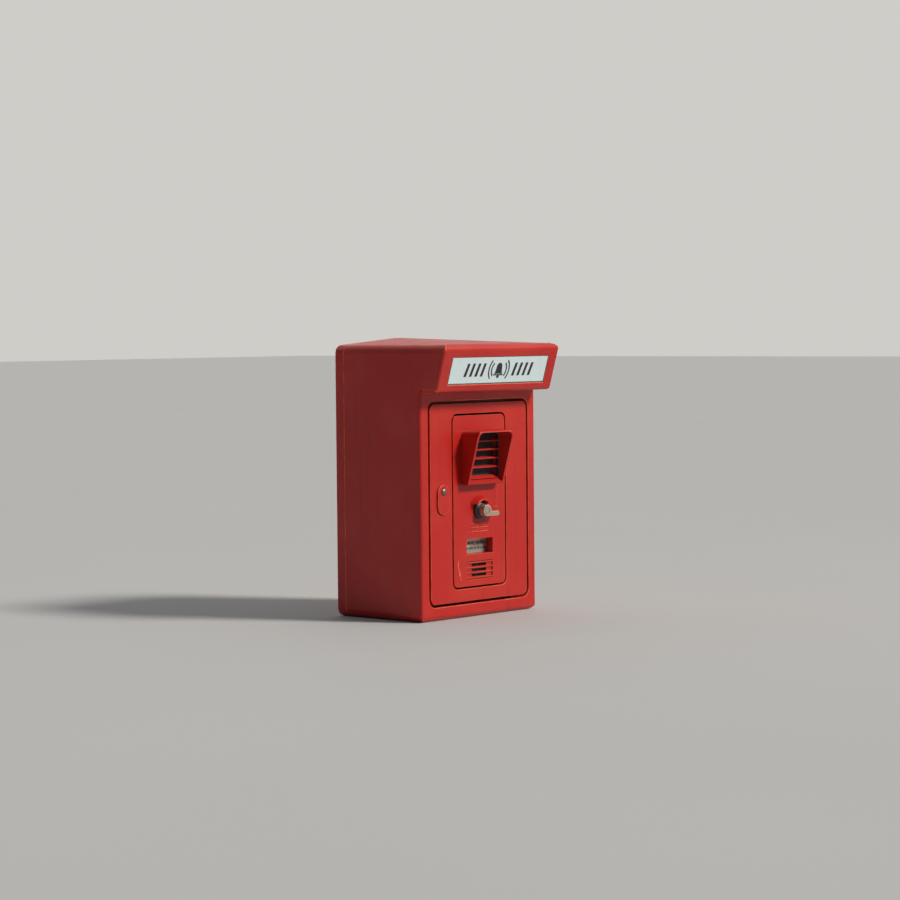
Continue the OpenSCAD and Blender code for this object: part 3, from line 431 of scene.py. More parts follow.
@dataclass(frozen=True)
class Cast(Finish):
    """Cast and worn metal: pits, grey film in the hollows and bright worn edges."""

    film: Colour = (0.36, 0.28, 0.22)
    bright: Colour = (0.86, 0.76, 0.66)
    metallic: float = 0.55

    def make(self) -> bpy.types.Material:
        """Builds the material.

        Returns:
            The finished material.
        """
        g = Graph(self.name)
        pits = g.span(g.cells(520), 0.10, 0.42)
        colour = g.mix(g.span(g.noise(120, 5, 0.65), 0.42, 0.72, 0.0, 0.6), self.colour, self.film)
        colour = g.mix(g.maths("SUBTRACT", 1.0, g.span(pits, 0.0, 0.6)), colour, self.film)
        worn = g.maths("MULTIPLY", g.attribute("edge"), g.span(g.noise(240, 3), 0.35, 0.6, 0.3, 0.9))
        colour = g.mix(worn, colour, self.bright)
        rough = g.span(g.noise(90, 4), 0.3, 0.7, self.roughness - 0.08, self.roughness + 0.14)
        normal = g.bump(pits, 0.05 * MM)
        normal = g.bump(g.noise(160, 4, 0.6), 0.12 * MM, normal)
        return g.finish(base_color=colour, roughness=rough, normal=normal, metallic=self.metallic)


@dataclass(frozen=True)
class Moulded(Finish):
    """Moulded plastic or rubber: fine grain, mottled tone and settled dust."""

    dust: Colour = (0.20, 0.19, 0.17)
    dusting: float = 0.25
    grain: float = 700.0
    depth: float = 0.03
    specular: float = 0.5

    def make(self) -> bpy.types.Material:
        """Builds the material.

        Returns:
            The finished material.
        """
        g = Graph(self.name)
        settled = g.span(g.noise(38, 6, 0.66), 0.48, 0.82, 0.0, self.dusting)
        colour = g.mix(settled, self.colour, self.dust)
        rough = g.maths("ADD", g.span(g.noise(75, 4), 0.3, 0.7, self.roughness - 0.06, self.roughness + 0.08),
                        g.maths("MULTIPLY", settled, 0.3))
        normal = g.bump(g.noise(self.grain, 2), self.depth * MM)
        return g.finish(base_color=colour, roughness=rough, normal=normal, specular_ior_level=self.specular)


@dataclass(frozen=True)
class Woven(Finish):
    """Fine cloth or pressed fibre, with its threads as relief."""

    threads: float = 900.0
    lint: Colour = (0.10, 0.10, 0.11)

    def make(self) -> bpy.types.Material:
        """Builds the material.

        Returns:
            The finished material.
        """
        g = Graph(self.name)
        x, _, z = g.axes()
        turn = math.tau * self.threads
        warp = g.maths("SINE", g.maths("MULTIPLY", x, turn))
        weft = g.maths("SINE", g.maths("MULTIPLY", z, turn))
        weave = g.span(g.maths("MULTIPLY", warp, weft), -0.8, 0.8)
        worn = g.span(g.noise(50, 4), 0.3, 0.8, 0.2, 0.9)
        colour = g.mix(g.maths("MULTIPLY", weave, worn), self.colour, self.lint)
        return g.finish(base_color=colour, roughness=self.roughness, normal=g.bump(weave, 0.15 * MM),
                        sheen_weight=0.2)


@dataclass(frozen=True)
class Acrylic(Finish):
    """Opal sheet: glossy, a little cloudy, with rain marks and grey edges."""

    soil: Colour = (0.42, 0.45, 0.44)

    def make(self) -> bpy.types.Material:
        """Builds the material.

        Returns:
            The finished material.
        """
        g = Graph(self.name)
        marks = g.span(g.noise(1, 5, 0.6, g.stretched((70, 70, 9))), 0.50, 0.85, 0.0, 0.30)
        cloud = g.span(g.noise(18, 4), 0.35, 0.75, 0.0, 0.10)
        colour = g.mix(cloud, g.mix(marks, self.colour, self.soil), self.soil)
        speck = g.span(g.noise(500, 2), 0.70, 0.78, 0.0, 0.25)
        colour = g.mix(speck, colour, self.soil)
        rough = g.maths("ADD", g.span(g.noise(45, 4), 0.3, 0.7, self.roughness, self.roughness + 0.08),
                        g.maths("MULTIPLY", marks, 0.5))
        return g.finish(base_color=colour, roughness=rough, normal=g.bump(g.noise(9, 2), 0.25 * MM),
                        coat_weight=0.3, coat_roughness=0.08)


@dataclass(frozen=True)
class ClearPane(Finish):
    """Clear sheet with a dusty film."""

    def make(self) -> bpy.types.Material:
        """Builds the material.

        Returns:
            The finished material.
        """
        g = Graph(self.name)
        film = g.span(g.noise(60, 5, 0.6), 0.45, 0.8, 0.0, 0.12)
        rough = g.maths("ADD", film, self.roughness)
        opacity = g.maths("ADD", g.maths("MULTIPLY", film, 1.5), 0.06)
        return g.finish(base_color=g.mix(film, self.colour, (0.7, 0.7, 0.66)), roughness=rough, alpha=opacity,
                        normal=g.bump(g.noise(30, 2), 0.02 * MM))


@dataclass(frozen=True)
class Printed(Finish):
    """A paper card with two rows of plain printed bars in place of words."""

    ink: Colour = (0.03, 0.03, 0.035)
    middle: float = -0.113
    row_gap: float = 9.5 * MM
    bar_h: float = 4.6 * MM

    def make(self) -> bpy.types.Material:
        """Builds the material.

        Returns:
            The finished material.
        """
        g = Graph(self.name)
        _, _, z = g.axes()
        fibres = g.noise(300, 5, 0.7)
        paper = g.mix(g.span(fibres, 0.3, 0.7, 0.0, 0.25), self.colour, (0.52, 0.45, 0.34))
        paper = g.mix(g.span(g.noise(26, 4), 0.5, 0.8, 0.0, 0.4), paper, (0.45, 0.36, 0.24))
        rows = None
        for side, tell in ((0.5, (260, 0, 11)), (-0.5, (230, 0, 17))):
            off = g.maths("ABSOLUTE", g.maths("SUBTRACT", z, self.middle + side * self.row_gap))
            row = g.span(off, self.bar_h / 2 - 0.2 * MM, self.bar_h / 2 + 0.1 * MM, 1.0, 0.0)
            bars = g.span(g.noise(1, 0, 0.5, g.stretched(tell)), 0.40, 0.43)
            row = g.maths("MULTIPLY", row, bars)
            rows = row if rows is None else g.maths("ADD", rows, row)
        printed = g.maths("MULTIPLY", rows, g.span(g.noise(700, 2), 0.25, 0.5, 0.65, 0.95))
        return g.finish(base_color=g.mix(printed, paper, self.ink), roughness=self.roughness,
                        normal=g.bump(fibres, 0.02 * MM))


@dataclass(frozen=True)
class Laminate(Finish):
    """A circuit board's masked laminate with faint tracks."""

    def make(self) -> bpy.types.Material:
        """Builds the material.

        Returns:
            The finished material.
        """
        g = Graph(self.name)
        x, _, z = g.axes()
        lines = g.maths("SINE", g.maths("MULTIPLY", x, 1900.0))
        cross = g.maths("SINE", g.maths("MULTIPLY", z, 1300.0))
        pick = g.span(g.noise(45, 2), 0.48, 0.52)
        tracks = g.span(g.mix(pick, lines, cross), 0.5, 0.8)
        colour = g.mix(g.maths("MULTIPLY", tracks, 0.5), self.colour, (0.06, 0.30, 0.10))
        return g.finish(base_color=colour, roughness=self.roughness, normal=g.bump(tracks, 0.04 * MM),
                        coat_weight=0.4, coat_roughness=0.2)


RED = (0.45, 0.011, 0.007)
PANEL_SCRATCHES = (((-0.0545, -0.1330), (-0.0575, -0.1480)), ((-0.0580, -0.1400), (-0.0520, -0.1640)),
                   ((-0.0535, -0.1500), (-0.0500, -0.1700)))
FINISHES: dict[Slot, Finish] = {
    Slot.RED: Enamel("red_enamel_box", RED, 0.36),
    Slot.RUBBER: Moulded("aged_rubber", (0.016, 0.016, 0.018), 0.72, dusting=0.4, depth=0.05, specular=0.3),
    Slot.ZINC: Metal("zinc_plate", (0.52, 0.53, 0.52), 0.40),
    Slot.ACRYLIC: Acrylic("opal_sign_sheet", (0.64, 0.77, 0.80), 0.16),
    Slot.LAMP: Acrylic("opal_lamp_glass", (0.84, 0.86, 0.84), 0.12),
    Slot.WHITE: Enamel("white_enamel", (0.78, 0.79, 0.77), 0.30, (0.70, 0.69, 0.62), (0.34, 0.31, 0.26),
                       (0.60, 0.58, 0.52), 0.15),
    Slot.IVORY: Moulded("ivory_moulding", (0.70, 0.64, 0.48), 0.42, dust=(0.42, 0.36, 0.26)),
    Slot.GREY: Moulded("grey_moulding", (0.085, 0.09, 0.095), 0.46),
    Slot.GAUZE: Woven("speaker_gauze_cloth", (0.008, 0.012, 0.018), 0.9),
    Slot.CONE: Woven("pressed_cone_fibre", (0.02, 0.02, 0.022), 0.85, threads=260.0),
    Slot.BLACK: Moulded("black_bush_moulding", (0.010, 0.011, 0.018), 0.34, dusting=0.3, grain=500.0),
    Slot.WINDOW: ClearPane("clear_window_sheet", (0.93, 0.95, 0.95), 0.03),
    Slot.CARD: Printed("printed_card", (0.66, 0.60, 0.48), 0.75),
    Slot.CASE: Cast("painted_casting", (0.30, 0.32, 0.34), 0.5, film=(0.16, 0.17, 0.18), metallic=0.3),
    Slot.BOARD: Laminate("board_laminate_mask", (0.02, 0.13, 0.05), 0.35),
    Slot.BRASS: Metal("turned_brass", (0.60, 0.43, 0.17), 0.32, tarnish=(0.26, 0.17, 0.07)),
    Slot.BRIGHT: Metal("satin_steel", (0.24, 0.21, 0.20), 0.42, tarnish=(0.10, 0.07, 0.06), spots=0.6),
    Slot.LEVER: Cast("worn_lever_casting", (0.47, 0.34, 0.25), 0.40, film=(0.22, 0.14, 0.10), metallic=0.35),
    Slot.NYLON: Moulded("nylon_moulding", (0.66, 0.62, 0.48), 0.40, dust=(0.40, 0.36, 0.28)),
}
PANEL_ENAMEL = Enamel("red_enamel_panel", RED, 0.34, scratches=PANEL_SCRATCHES)
MICROPHONE_MESH = Woven("microphone_mesh", (0.03, 0.032, 0.036), 0.6, threads=1400.0)
SIGN_INK = Moulded("sign_ink", (0.012, 0.013, 0.016), 0.45, dusting=0.2)


class Paintshop:
    """Makes each finish once and hands it out."""

    def __init__(self) -> None:
        """Starts with nothing made."""
        self._made: dict[str, bpy.types.Material] = {}

    def get(self, finish: Finish) -> bpy.types.Material:
        """The material of a finish.

        Args:
            finish: The finish.

        Returns:
            Its material, made at the first call.
        """
        if finish.name not in self._made:
            self._made[finish.name] = finish.make()
        return self._made[finish.name]

    def of(self, slot: Slot) -> bpy.types.Material:
        """The material of a slot."""
        return self.get(FINISHES[slot])


SHOP = Paintshop()


# --------------------------------------------------------------------------- making meshes


def link(mesh: bpy.types.Mesh, name: str) -> bpy.types.Object:
    """Puts a mesh into the scene as an object at the origin.

    Args:
        mesh: The mesh, in its place.
        name: The piece's name.

    Returns:
        The new object.
    """
    mesh.name = name
    obj = bpy.data.objects.new(name, mesh)
    bpy.context.scene.collection.objects.link(obj)
    return obj


def plain(obj: bpy.types.Object) -> bpy.types.Mesh:
    """What an object's modifiers make of it, as a mesh of its own; the object itself is removed.

    Args:
        obj: The object, with its modifiers.

    Returns:
        The plain mesh.
    """
    bpy.context.view_layer.update()
    graph = bpy.context.evaluated_depsgraph_get()
    mesh = bpy.data.meshes.new_from_object(obj.evaluated_get(graph))
    bpy.data.objects.remove(obj)
    return mesh


def meshed(bm: bmesh.types.BMesh, name: str) -> bpy.types.Mesh:
    """A bmesh turned into a mesh.

    Args:
        bm: The bmesh; it is freed.
        name: The mesh's name.

    Returns:
        The new mesh.
    """
    mesh = bpy.data.meshes.new(name)
    bm.to_mesh(mesh)
    bm.free()
    return mesh


def merged(node: str) -> bmesh.types.BMesh:
    """A CAD node's triangles, joined where they share a corner.

    Args:
        node: The node that is copied.

    Returns:
        The joined copy.
    """
    bm = bmesh.new()
    bm.from_mesh(frame["nodes"][node].data)
    bmesh.ops.remove_doubles(bm, verts=bm.verts, dist=SAME_POINT)
    return bm


def arc(middle: Flat, radius: float, start: float, turn: float, steps: int) -> list[Flat]:
    """Points along part of a circle, with both of its ends.

    Args:
        middle: The circle's middle.
        radius: Its radius.
        start: Where it starts, in degrees.
        turn: How far it goes, in degrees.
        steps: Straight pieces along it.

    Returns:
        The points.
    """
    angles = [math.radians(start + turn * i / steps) for i in range(steps + 1)]
    return [(middle[0] + radius * math.cos(a), middle[1] + radius * math.sin(a)) for a in angles]


def flattened(mesh: bpy.types.Mesh) -> bpy.types.Mesh:
    """A mesh shaded smooth, with normals that keep its large faces flat.

    Args:
        mesh: The mesh; it is used up.

    Returns:
        The shaded mesh.
    """
    mesh.shade_smooth()
    obj = link(mesh, "shading")
    weighted = obj.modifiers.new("weighted", "WEIGHTED_NORMAL")
    weighted.mode = "FACE_AREA"
    weighted.weight = 50
    weighted.keep_sharp = True
    return plain(obj)


def softened(node: str, width: float, where: Callable[[Vector], bool] | None = None,
             segments: int = 2, angle: float = 28.0, source: bpy.types.Mesh | None = None) -> bpy.types.Mesh:
    """A CAD node's solid with its sharp edges rounded off.

    Args:
        node: The node that is copied.
        width: The rounding's width.
        where: Says, from an edge's middle, whether it is rounded; None rounds them all.
        segments: Faces across a rounding.
        angle: The least turn, in degrees, that counts as an edge.
        source: A closed mesh to start from, or None for the node's own.

    Returns:
        A closed mesh with an edge attribute that is 1 on its roundings.
    """
    bm = bmesh.new()
    bm.from_mesh(source or frame["nodes"][node].data)
    bmesh.ops.remove_doubles(bm, verts=bm.verts, dist=SAME_POINT)
    bmesh.ops.dissolve_limit(bm, angle_limit=math.radians(0.3), verts=bm.verts, edges=bm.edges)
    edges = [e for e in bm.edges if len(e.link_faces) == 2 and e.calc_face_angle(0.0) > math.radians(angle)]
    for edge in edges:
        edge.smooth = False
    if where is not None:
        edges = [e for e in edges if where((e.verts[0].co + e.verts[1].co) / 2)]
    for edge in edges:
        edge.smooth = True
    made = bmesh.ops.bevel(bm, geom=edges, offset=width, offset_type="OFFSET", segments=segments, profile=0.5,
                           affect="EDGES", clamp_overlap=False)
    layer = bm.loops.layers.float.new("edge")
    for face in made["faces"]:
        for loop in face.loops:
            loop[layer] = 1.0
    bmesh.ops.triangulate(bm, faces=[f for f in bm.faces if len(f.verts) > 4], ngon_method="EAR_CLIP")
    return flattened(meshed(bm, node))


def prism(outlines: Iterable[list[Flat]], depth: float, place: Matrix) -> bpy.types.Mesh:
    """Flat outlines given a thickness: local X and Z are the outline's, and it grows towards -Y.

    Args:
        outlines: Closed outlines, each one simple polygon.
        depth: The thickness.
        place: Where the local frame lies.

    Returns:
        One closed mesh for all of them.
    """
    bm = bmesh.new()
    for outline in outlines:
        back = [bm.verts.new((x, 0.0, z)) for x, z in outline]
        front = [bm.verts.new((x, -depth, z)) for x, z in outline]
        bm.faces.new(back)
        bm.faces.new(front[::-1])
        for i in range(len(outline)):
            j = (i + 1) % len(outline)
            bm.faces.new((back[j], back[i], front[i], front[j]))
    bmesh.ops.recalc_face_normals(bm, faces=bm.faces)
    bmesh.ops.triangulate(bm, faces=[f for f in bm.faces if len(f.verts) > 4], ngon_method="EAR_CLIP")
    bm.transform(place)
    return meshed(bm, "prism")


def rounded_outline(low: Flat, high: Flat, radii: tuple[float, float], steps: int = 8) -> list[Flat]:
    """A rectangle with round corners.

    Args:
        low: Its lowest corner.
        high: Its highest corner.
        radii: The lower corners' radius and the upper corners'.
        steps: Faces round each corner.

    Returns:
        Its points, anticlockwise from the lower left.
    """
    under, over = radii
    corners = (((low[0] + under, low[1] + under), under, 180), ((high[0] - under, low[1] + under), under, 270),
               ((high[0] - over, high[1] - over), over, 0), ((low[0] + over, high[1] - over), over, 90))
    return [point for middle, radius, start in corners for point in arc(middle, radius, start, 90, steps)]


def lathe(profile: list[Flat], steps: int = 40) -> bmesh.types.BMesh:
    """A closed outline of (radius, height) turned about Z; its ends lie on the axis.

    Args:
        profile: The outline from the lower pole to the upper one.
        steps: Faces round the axis.

    Returns:
        The turned solid.
    """
    bm = bmesh.new()
    rings: list[list[bmesh.types.BMVert]] = []
    for radius, height in profile:
        count = 1 if radius < 1e-9 else steps
        rings.append([bm.verts.new((x, y, height)) for x, y in arc((0.0, 0.0), radius, 0, 360, count)[:-1]])
    for low, high in zip(rings, rings[1:]):
        for i in range(steps):
            j = (i + 1) % steps
            corners = [low[i % len(low)], low[j % len(low)], high[j % len(high)], high[i % len(high)]]
            corners = [v for k, v in enumerate(corners) if v not in corners[:k]]
            if len(corners) > 2:
                bm.faces.new(corners)
    bmesh.ops.recalc_face_normals(bm, faces=bm.faces)
    return bm


def islands(node: str) -> list[tuple[Vector, Vector]]:
    """The boxes of a node's separate solids.

    Args:
        node: The node.

    Returns:
        The lowest and highest corners of each solid.
    """
    bm = merged(node)
    left = set(bm.verts)
    boxes = []
    while left:
        stack, seen = [left.pop()], []
        while stack:
            vert = stack.pop()
            seen.append(vert.co.copy())
            for edge in vert.link_edges:
                other = edge.other_vert(vert)
                if other in left:
                    left.remove(other)
                    stack.append(other)
        points = np.array(seen)
        boxes.append((Vector(points.min(0)), Vector(points.max(0))))
    bm.free()
    return sorted(boxes, key=lambda b: tuple(b[0]))


def dress(obj: bpy.types.Object, slot: Slot, body: Body, *nodes: str,
          material: bpy.types.Material | None = None) -> bpy.types.Object:
    """Gives a piece its finish, its body and the nodes that it stands for.

    Args:
        obj: The piece.
        slot: The record's slot.
        body: The body that it rides on.
        *nodes: The CAD nodes that it replaces.
        material: A finish of its own, in place of the slot's.

    Returns:
        The piece.
    """
    obj.data.materials.clear()
    obj.data.materials.append(material or SHOP.of(slot))
    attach(obj, body.value)
    if nodes:
        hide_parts(*nodes)
    LOG.info("%s: %d faces on %s", obj.name, len(obj.data.polygons), body.value)
    return obj


def rounded(node: str, name: str, slot: Slot, body: Body, width: float,
            where: Callable[[Vector], bool] | None = None, segments: int = 2,
            source: bpy.types.Mesh | None = None, material: bpy.types.Material | None = None) -> None:
    """Puts a dressed copy of a CAD node, with rounded edges, in the node's place.

    Args:
        node: The node.
        name: The copy's name.
        slot: The record's slot.
        body: The body that it rides on.
        width: The rounding's width.
        where: Says, from an edge's middle, whether it is rounded.
        segments: Faces across a rounding.
        source: A closed mesh to start from, or None for the node's own.
        material: A finish of its own, in place of the slot's.
    """
    mesh = softened(node, width, where, segments, source=source)
    dress(link(mesh, name), slot, body, node, material=material)


# --------------------------------------------------------------------------- geometry nodes


class Tree:
    """A Geometry Nodes tree with named inputs, run once to make a plain mesh."""

    def __init__(self, name: str) -> None:
        """Starts the tree with its geometry in and out.

        Args:
            name: The tree's name.
        """
        self.group = bpy.data.node_groups.new(name, "GeometryNodeTree")
        self.group.interface.new_socket(name="Geometry", in_out="OUTPUT", socket_type="NodeSocketGeometry")
        self.group.interface.new_socket(name="Geometry", in_out="INPUT", socket_type="NodeSocketGeometry")
        self.values: dict[str, object] = {}
        self.inputs = self.group.nodes.new("NodeGroupInput")
        self.output = self.group.nodes.new("NodeGroupOutput")

    def size(self, name: str, value: object, kind: str = "Float") -> bpy.types.NodeSocket:
        """Adds a named input and its value.

        Args:
            name: The input's name.
            value: What it is set to when the tree runs.
            kind: Float, Int, Vector, Object or Material.

        Returns:
            The input's socket inside the tree.
        """
        item = self.group.interface.new_socket(name=name, in_out="INPUT", socket_type=f"NodeSocket{kind}")
        self.values[item.identifier] = value
        return self.inputs.outputs[name]

    def add(self, kind: str, inputs: dict[object, object] | None = None, **settings: object) -> bpy.types.Node:
        """Adds a node.

        Args:
            kind: The node's type, without its prefix when it is a geometry node.
            inputs: Input names or numbers with a constant or an output for each.
            **settings: The node's own settings.

        Returns:
            The node.
        """
        full = kind if kind.startswith(("ShaderNode", "FunctionNode")) else f"GeometryNode{kind}"
        node = self.group.nodes.new(full)
        for key, value in settings.items():
            setattr(node, key, value)
        for key, value in (inputs or {}).items():
            if isinstance(value, bpy.types.NodeSocket):
                self.group.links.new(value, node.inputs[key])
            else:
                node.inputs[key].default_value = value
        return node

    def maths(self, kind: str, a: object, b: object = 0.0) -> bpy.types.NodeSocket:
        """One sum inside the tree."""
        return self.add("ShaderNodeMath", {0: a, 1: b}, operation=kind).outputs[0]

    def vector(self, x: object = 0.0, y: object = 0.0, z: object = 0.0) -> bpy.types.NodeSocket:
        """Three numbers as a vector."""
        return self.add("ShaderNodeCombineXYZ", {0: x, 1: y, 2: z}).outputs[0]

    def close(self, geometry: bpy.types.NodeSocket, material: bpy.types.Material, smooth: bool = True) -> None:
        """Ends the tree in Realize Instances, smooth shading and Set Material.

        Args:
            geometry: What the tree has made.
            material: The finish.
            smooth: Whether it is shaded smooth.
        """
        real = self.add("RealizeInstances", {0: geometry}).outputs[0]
        shaded = self.add("SetShadeSmooth", {"Geometry": real, "Shade Smooth": smooth}).outputs[0]
        chosen = self.size("Material", material, "Material")
        dressed = self.add("SetMaterial", {"Geometry": shaded, "Material": chosen}).outputs[0]
        self.group.links.new(dressed, self.output.inputs[0])

    def run(self, base: bpy.types.Mesh | None = None) -> bpy.types.Mesh:
        """Runs the tree on a mesh.

        Args:
            base: The mesh it starts from, or None for an empty one.

        Returns:
            What it makes, as a plain mesh.
        """
        obj = link(base or bpy.data.meshes.new("empty"), self.group.name)
        modifier = obj.modifiers.new("tree", "NODES")
        modifier.node_group = self.group
        for identifier, value in self.values.items():
            modifier[identifier] = value
        return plain(obj)


def dots(points: Iterable[Vector]) -> bpy.types.Mesh:
    """A mesh of bare points, for a tree to put copies on.

    Args:
        points: The points.

    Returns:
        The mesh.
    """
    mesh = bpy.data.meshes.new("dots")
    mesh.from_pydata([tuple(p) for p in points], [], [])
    return mesh


def copies(name: str, item: bpy.types.Mesh, points: list[Vector], turn: Point,
           material: bpy.types.Material) -> bpy.types.Mesh:
    """The same item at each of several places.

    Args:
        name: The tree's name.
        item: The mesh that is repeated.
        points: Its places.
        turn: Its Euler turn, in radians.
        material: The finish.

    Returns:
        One mesh of all the copies.
    """
    pattern = link(item, name + "_item")
    tree = Tree(name)
    source = tree.add("ObjectInfo", {"Object": tree.size("Item", pattern, "Object")})
    turned = tree.size("Turn", turn, "Vector")
    places = tree.add("MeshToPoints", {0: tree.inputs.outputs[0]}).outputs[0]
    instances = tree.add("InstanceOnPoints", {"Points": places, "Instance": source.outputs["Geometry"],
                                              "Rotation": turned})
    tree.close(instances.outputs[0], material)
    mesh = tree.run(dots(points))
    bpy.data.objects.remove(pattern)
    return mesh


def swept(name: str, path: list[Point], closed: bool, profile: list[Flat],
          material: bpy.types.Material) -> bpy.types.Mesh:
    """A profile carried along a path.

    Args:
        name: The tree's name.
        path: The path's points.
        closed: Whether it runs back to its start.
        profile: The section, as (side, up) pairs.
        material: The finish.

    Returns:
        The closed tube.
    """
    tree = Tree(name)
    count = len(path)
    track = bpy.data.meshes.new(name + "_path")
    edges = [(i, (i + 1) % count) for i in range(count if closed else count - 1)]
    track.from_pydata(path, edges, [])
    section = bpy.data.meshes.new(name + "_section")
    around = len(profile)
    section.from_pydata([(x, y, 0.0) for x, y in profile], [(i, (i + 1) % around) for i in range(around)], [])
    holder = link(section, name + "_section")
    outline = tree.add("ObjectInfo", {"Object": tree.size("Section", holder, "Object")}).outputs["Geometry"]
    curve = tree.add("MeshToCurve", {0: tree.inputs.outputs[0]}).outputs[0]
    ring = tree.add("MeshToCurve", {0: outline}).outputs[0]
    tube = tree.add("CurveToMesh", {"Curve": curve, "Profile Curve": ring, "Fill Caps": True}).outputs[0]
    tree.close(tube, material)
    mesh = tree.run(track)
    bpy.data.objects.remove(holder)
    bm = bmesh.new()
    bm.from_mesh(mesh)
    bmesh.ops.remove_doubles(bm, verts=bm.verts, dist=1e-6)
    bmesh.ops.recalc_face_normals(bm, faces=bm.faces)
    bm.to_mesh(mesh)
    bm.free()
    return mesh


# --------------------------------------------------------------------------- sub-assemblies


@dataclass
class Shell:
    """The housing with its canopy, the rear pan and the frame behind the door."""

    rim: float = 1.0 * MM
    lip: float = 0.15 * MM
    soffit: float = 154 * MM
    corner: float = 8.5 * MM
    beyond: float = 2 * MM
    near: float = 0.2 * MM
    pan_band: float = 16 * MM
    canopy_out: float = 20 * MM
    roof_up: float = 40 * MM

    def _canopy(self) -> bpy.types.Mesh:
        """The housing with its canopy's two lower corners rounded.

        Returns:
            The closed mesh.
        """
        low, high = box("housing")
        start = box("lever_shroud")[1].y - MM  # the shroud stands on the housing's front plane
        body = link(meshed(merged("housing"), "canopy"), "canopy")
        tools = []
        for side in (-1, 1):
            edge, floor = high.x + self.beyond, self.soffit - self.beyond
            middle = (high.x - self.corner, self.soffit + self.corner)
            outline = [(edge, floor), (edge, middle[1])]
            outline += arc(middle, self.corner, 0, -90, 10)
            outline.append((middle[0], floor))
            cut = prism([[(side * x, z) for x, z in outline]], start - low.y + self.beyond,
                        Matrix.Translation((0.0, start, 0.0)))
            tool = link(cut, "corner_tool")
            tools.append(tool)
            modifier = body.modifiers.new("corner", "BOOLEAN")
            modifier.operation, modifier.solver, modifier.object = "DIFFERENCE", "EXACT", tool
        made = plain(body)
        for tool in tools:
            bpy.data.objects.remove(tool)
        return made

    def build(self) -> None:
        """Builds the housing, the pan and the frame."""
        rounded("housing", "housing_shell", Slot.RED, Body.ROOT, self.rim, self._front_rims,
                source=self._canopy())
        rounded("rear_pan", "rear_pan_tray", Slot.RED, Body.ROOT, self.rim, self._pan_rim)
        rounded("door_frame", "door_frame_lip", Slot.RED, Body.ROOT, self.lip)

    def _pan_rim(self, mid: Vector) -> bool:
        """Whether an edge is on the pan's outside.

        Args:
            mid: The edge's middle.

        Returns:
            True on its sides, its foot and its top band.
        """
        low, high = box("rear_pan")
        skin = 2 * MM
        return abs(mid.x) > high.x - skin or mid.z < low.z + skin or mid.z > high.z - self.pan_band

    def _front_rims(self, mid: Vector) -> bool:
        """Whether an edge of the housing is one that is rounded.

        Args:
            mid: The edge's middle.

        Returns:
            True on the front face, the canopy, the roof's front and the rear seam.
        """
        door_low, door_high = box("door")
        front = door_low.y
        face = abs(mid.y - front) < self.near
        seam = mid.y > box("housing")[1].y - self.near
        sign = mid.y < front - self.canopy_out
        roof = mid.z > door_high.z + self.roof_up and mid.y < front + self.roof_up
        return face or seam or sign or roof


@dataclass
class Door:
    """The service door, its keyhole cover, its rivet and the lock."""

    edge: float = 0.8 * MM
    lock_edge: float = 0.25 * MM
    dome: float = 3.2 * MM
    collar: float = 1.5 * MM

    def _front(self, mid: Vector) -> bool:
        """Whether an edge is on the door's front."""
        return mid.y < box("door")[0].y + 0.1 * MM

    def build(self) -> None:
        """Builds the door, the cover, the rivet and the lock."""
        rounded("door", "door_skin", Slot.RED, Body.DOOR, self.edge, self._front)
        rounded("lock_cover", "keyhole_cover", Slot.RED, Body.COVER, self.edge, segments=3)
        dress(link(self.rivet(), "cover_rivet_dome"), Slot.BRIGHT, Body.DOOR, "cover_rivet")
        rounded("lock_body", "lock_barrel", Slot.BRIGHT, Body.DOOR, self.lock_edge)
        rounded("lock_plug", "lock_core", Slot.BRASS, Body.LOCK, self.lock_edge)

    def rivet(self) -> bpy.types.Mesh:
        """The domed rivet, turned to the CAD rivet's sizes.

        Returns:
            The closed rivet.
        """
        low, high = box("cover_rivet")
        head_r = (high.z - low.z) / 2
        middle = (low + high) / 2
        length = high.y - low.y
        crown = length - self.dome
        neck, shank = 0.74 * head_r, 0.41 * head_r
        profile: list[Flat] = [(0.0, 0.0), (neck, 0.0), (neck, self.collar), (shank, self.collar),
                               (shank, crown), (0.97 * head_r, crown), (head_r, crown + 0.25 * MM)]
        rise = 0.4 * MM
        profile += [(head_r * across * 0.985, crown + rise + (self.dome - rise) * up)
                    for across, up in arc((0.0, 0.0), 1.0, 0, 90, 9)[1:-1]]
        profile += [(0.0, length)]
        bm = lathe(profile, 36)
        bm.transform(Matrix.Translation((middle.x, high.y, middle.z)) @ Matrix.Rotation(math.pi / 2, 4, "X"))
        return flattened(meshed(bm, "rivet"))


